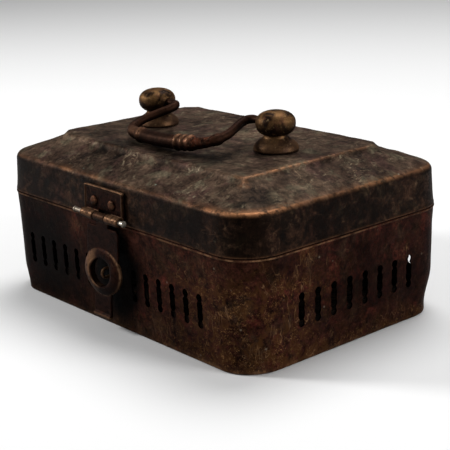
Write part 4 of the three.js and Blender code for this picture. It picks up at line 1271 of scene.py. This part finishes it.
add(make_body(), "body_shell", "root", "dark_copper",
    wear=body_wear, rub=body_rub, tone=body_tone, soot=wall_soot)
add(make_bottom(), "body_bottom", "root", "dark_copper", wear=0.0, rub=0.4, tone=0.5,
    soot=lambda centre, normal: 0.7 * step_up(0.2, 0.9, normal.z))
add(make_collar(), "body_collar", "root", "worn_copper", "worn_bail",
    wear=lambda point, normal: 0.5 * step_up(66, 69.5, point.z), rust=0.2)
add(make_lid(), "lid_shell", "lid", "olive_patina", wear=lid_wear, tone=lid_tone, soot=lid_soot)

for label, side in SIDES:
    add(make_post(label, side), f"post_{label}", "lid", "turned_brass")
    add(make_post_nut(label), f"post_nut_{label}", "lid", "sooty_iron")
add(make_bail(), "bail_handle", "bail", "worn_copper", "worn_bail", wear=bail_wear, rust=bail_rust)

add(make_hasp(), "hasp", "hasp", "worn_copper", "worn_hasp", wear=hasp_wear, rust=0.15)
add(make_hasp_plate(), "hasp_plate", "lid", "worn_copper", "worn_hasp", wear=plate_wear, rust=0.2)
# the pin's right end is painted with a glint, its left end with a faint one
add(make_pin("hasp_pin", 1.3, 1.75), "hasp_pin", "lid", "turned_brass", "pin_painted_glint",
    wear=lambda point, normal: max(step_up(18, 20, point.x), 0.2 * step_up(18, 20, -point.x)), rust=0.1)
add(make_staple(), "staple", "root", "turned_brass")
add(make_backplate(), "staple_backplate", "root", "sooty_iron")

for label, side in SIDES:
    node = f"hasp_plate_rivet_{label}"
    add(make_rivet(node, -1), node, "lid", "worn_copper", "worn_hasp",
        wear=lambda point, normal: 0.2 * step_up(0.2, 0.9, -normal.y), rust=1.0)
    add(make_leaf(label, side, -1), f"hinge_{label}_body_leaf", "root", "turned_brass")
    add(make_leaf(label, side, 1), f"hinge_{label}_lid_leaf", "lid", "turned_brass")
    add(make_pin(f"hinge_{label}_pin", 1.2, 1.6), f"hinge_{label}_pin", "root", "sooty_iron")
    for end in "ab":
        for part, part_body in (("body", "root"), ("lid", "lid")):
            node = f"hinge_{part}_rivet_{label}_{end}"
            add(make_rivet(node, 1), node, part_body, "turned_brass")

add(make_tray(), "ember_tray", "tray", "sooty_iron")
for depth in ("front", "back"):
    for label, _ in SIDES:
        node = f"tray_foot_{depth}_{label}"
        add(make_tray_foot(node), node, "tray", "sooty_iron")

# ---- stage, camera and lights


PALE_GREY = (0.86, 0.86, 0.86, 1)
FLOOR_RADIUS = 6000
FLOOR_DROP = 0.2  # mm below the box's foot, so that the two never meet
LENS = 96.9
CAMERA_PLACE = (0.53682, -0.44936, 0.25405)  # m
AZIMUTH, ELEVATION, ROLL = radians(49.7), radians(16.75), radians(-2.09)
AIM = Vector((0, 0, 0.05))  # m, where the lamps point
# name, place and size in m, power in W
LAMPS = (("overhead_softbox", (-0.25, 0.55, 1.5), 1.0, 17), ("left_softbox", (-1.25, -1.05, 0.85), 0.4, 22),
         ("right_softbox", (1.5, 0.5, 0.7), 0.8, 14))
WORLD_LIGHT = 0.2


def make_floor():
    bm = bmesh.new()
    bmesh.ops.create_circle(bm, cap_ends=True, segments=96, radius=FLOOR_RADIUS)
    floor = from_bmesh("floor", bm, at(0, 0, -FLOOR_DROP))
    material = new_material("pale_floor")
    inputs = material.node_tree.nodes["Principled BSDF"].inputs
    for name, value in (("Base Color", PALE_GREY), ("Roughness", 0.9), ("Specular IOR Level", 0.1)):
        inputs[name].default_value = value
    floor.data.materials.append(material)


def turned(obj, place, towards, roll=0.0):
    """Puts a camera or a lamp at a place, looking along a direction."""
    obj.location = place
    obj.rotation_mode = "QUATERNION"
    obj.rotation_quaternion = towards.to_track_quat("-Z", "Y") @ Quaternion((0, 0, 1), roll)


def make_camera():
    data = bpy.data.cameras.new("camera")
    data.lens = LENS
    data.sensor_width = 36
    data.clip_start = 0.02
    camera = make_object("camera", data)
    level = cos(ELEVATION)
    turned(camera, CAMERA_PLACE, -Vector((sin(AZIMUTH) * level, -cos(AZIMUTH) * level, sin(ELEVATION))), ROLL)
    bpy.context.scene.camera = camera


def make_lamp(name, place, size, power):
    data = bpy.data.lights.new(name, "AREA")
    data.shape = "DISK"
    data.size = size
    data.energy = power
    turned(make_object(name, data), place, AIM - Vector(place))


make_floor()
make_camera()
for lamp in LAMPS:
    make_lamp(*lamp)

world = bpy.data.worlds.new("studio")
world.use_nodes = True
world.node_tree.nodes["Background"].inputs["Color"].default_value = (1, 1, 1, 1)
world.node_tree.nodes["Background"].inputs["Strength"].default_value = WORLD_LIGHT
bpy.context.scene.world = world
bpy.context.scene.view_settings.view_transform = "Standard"

bpy.context.view_layer.update()
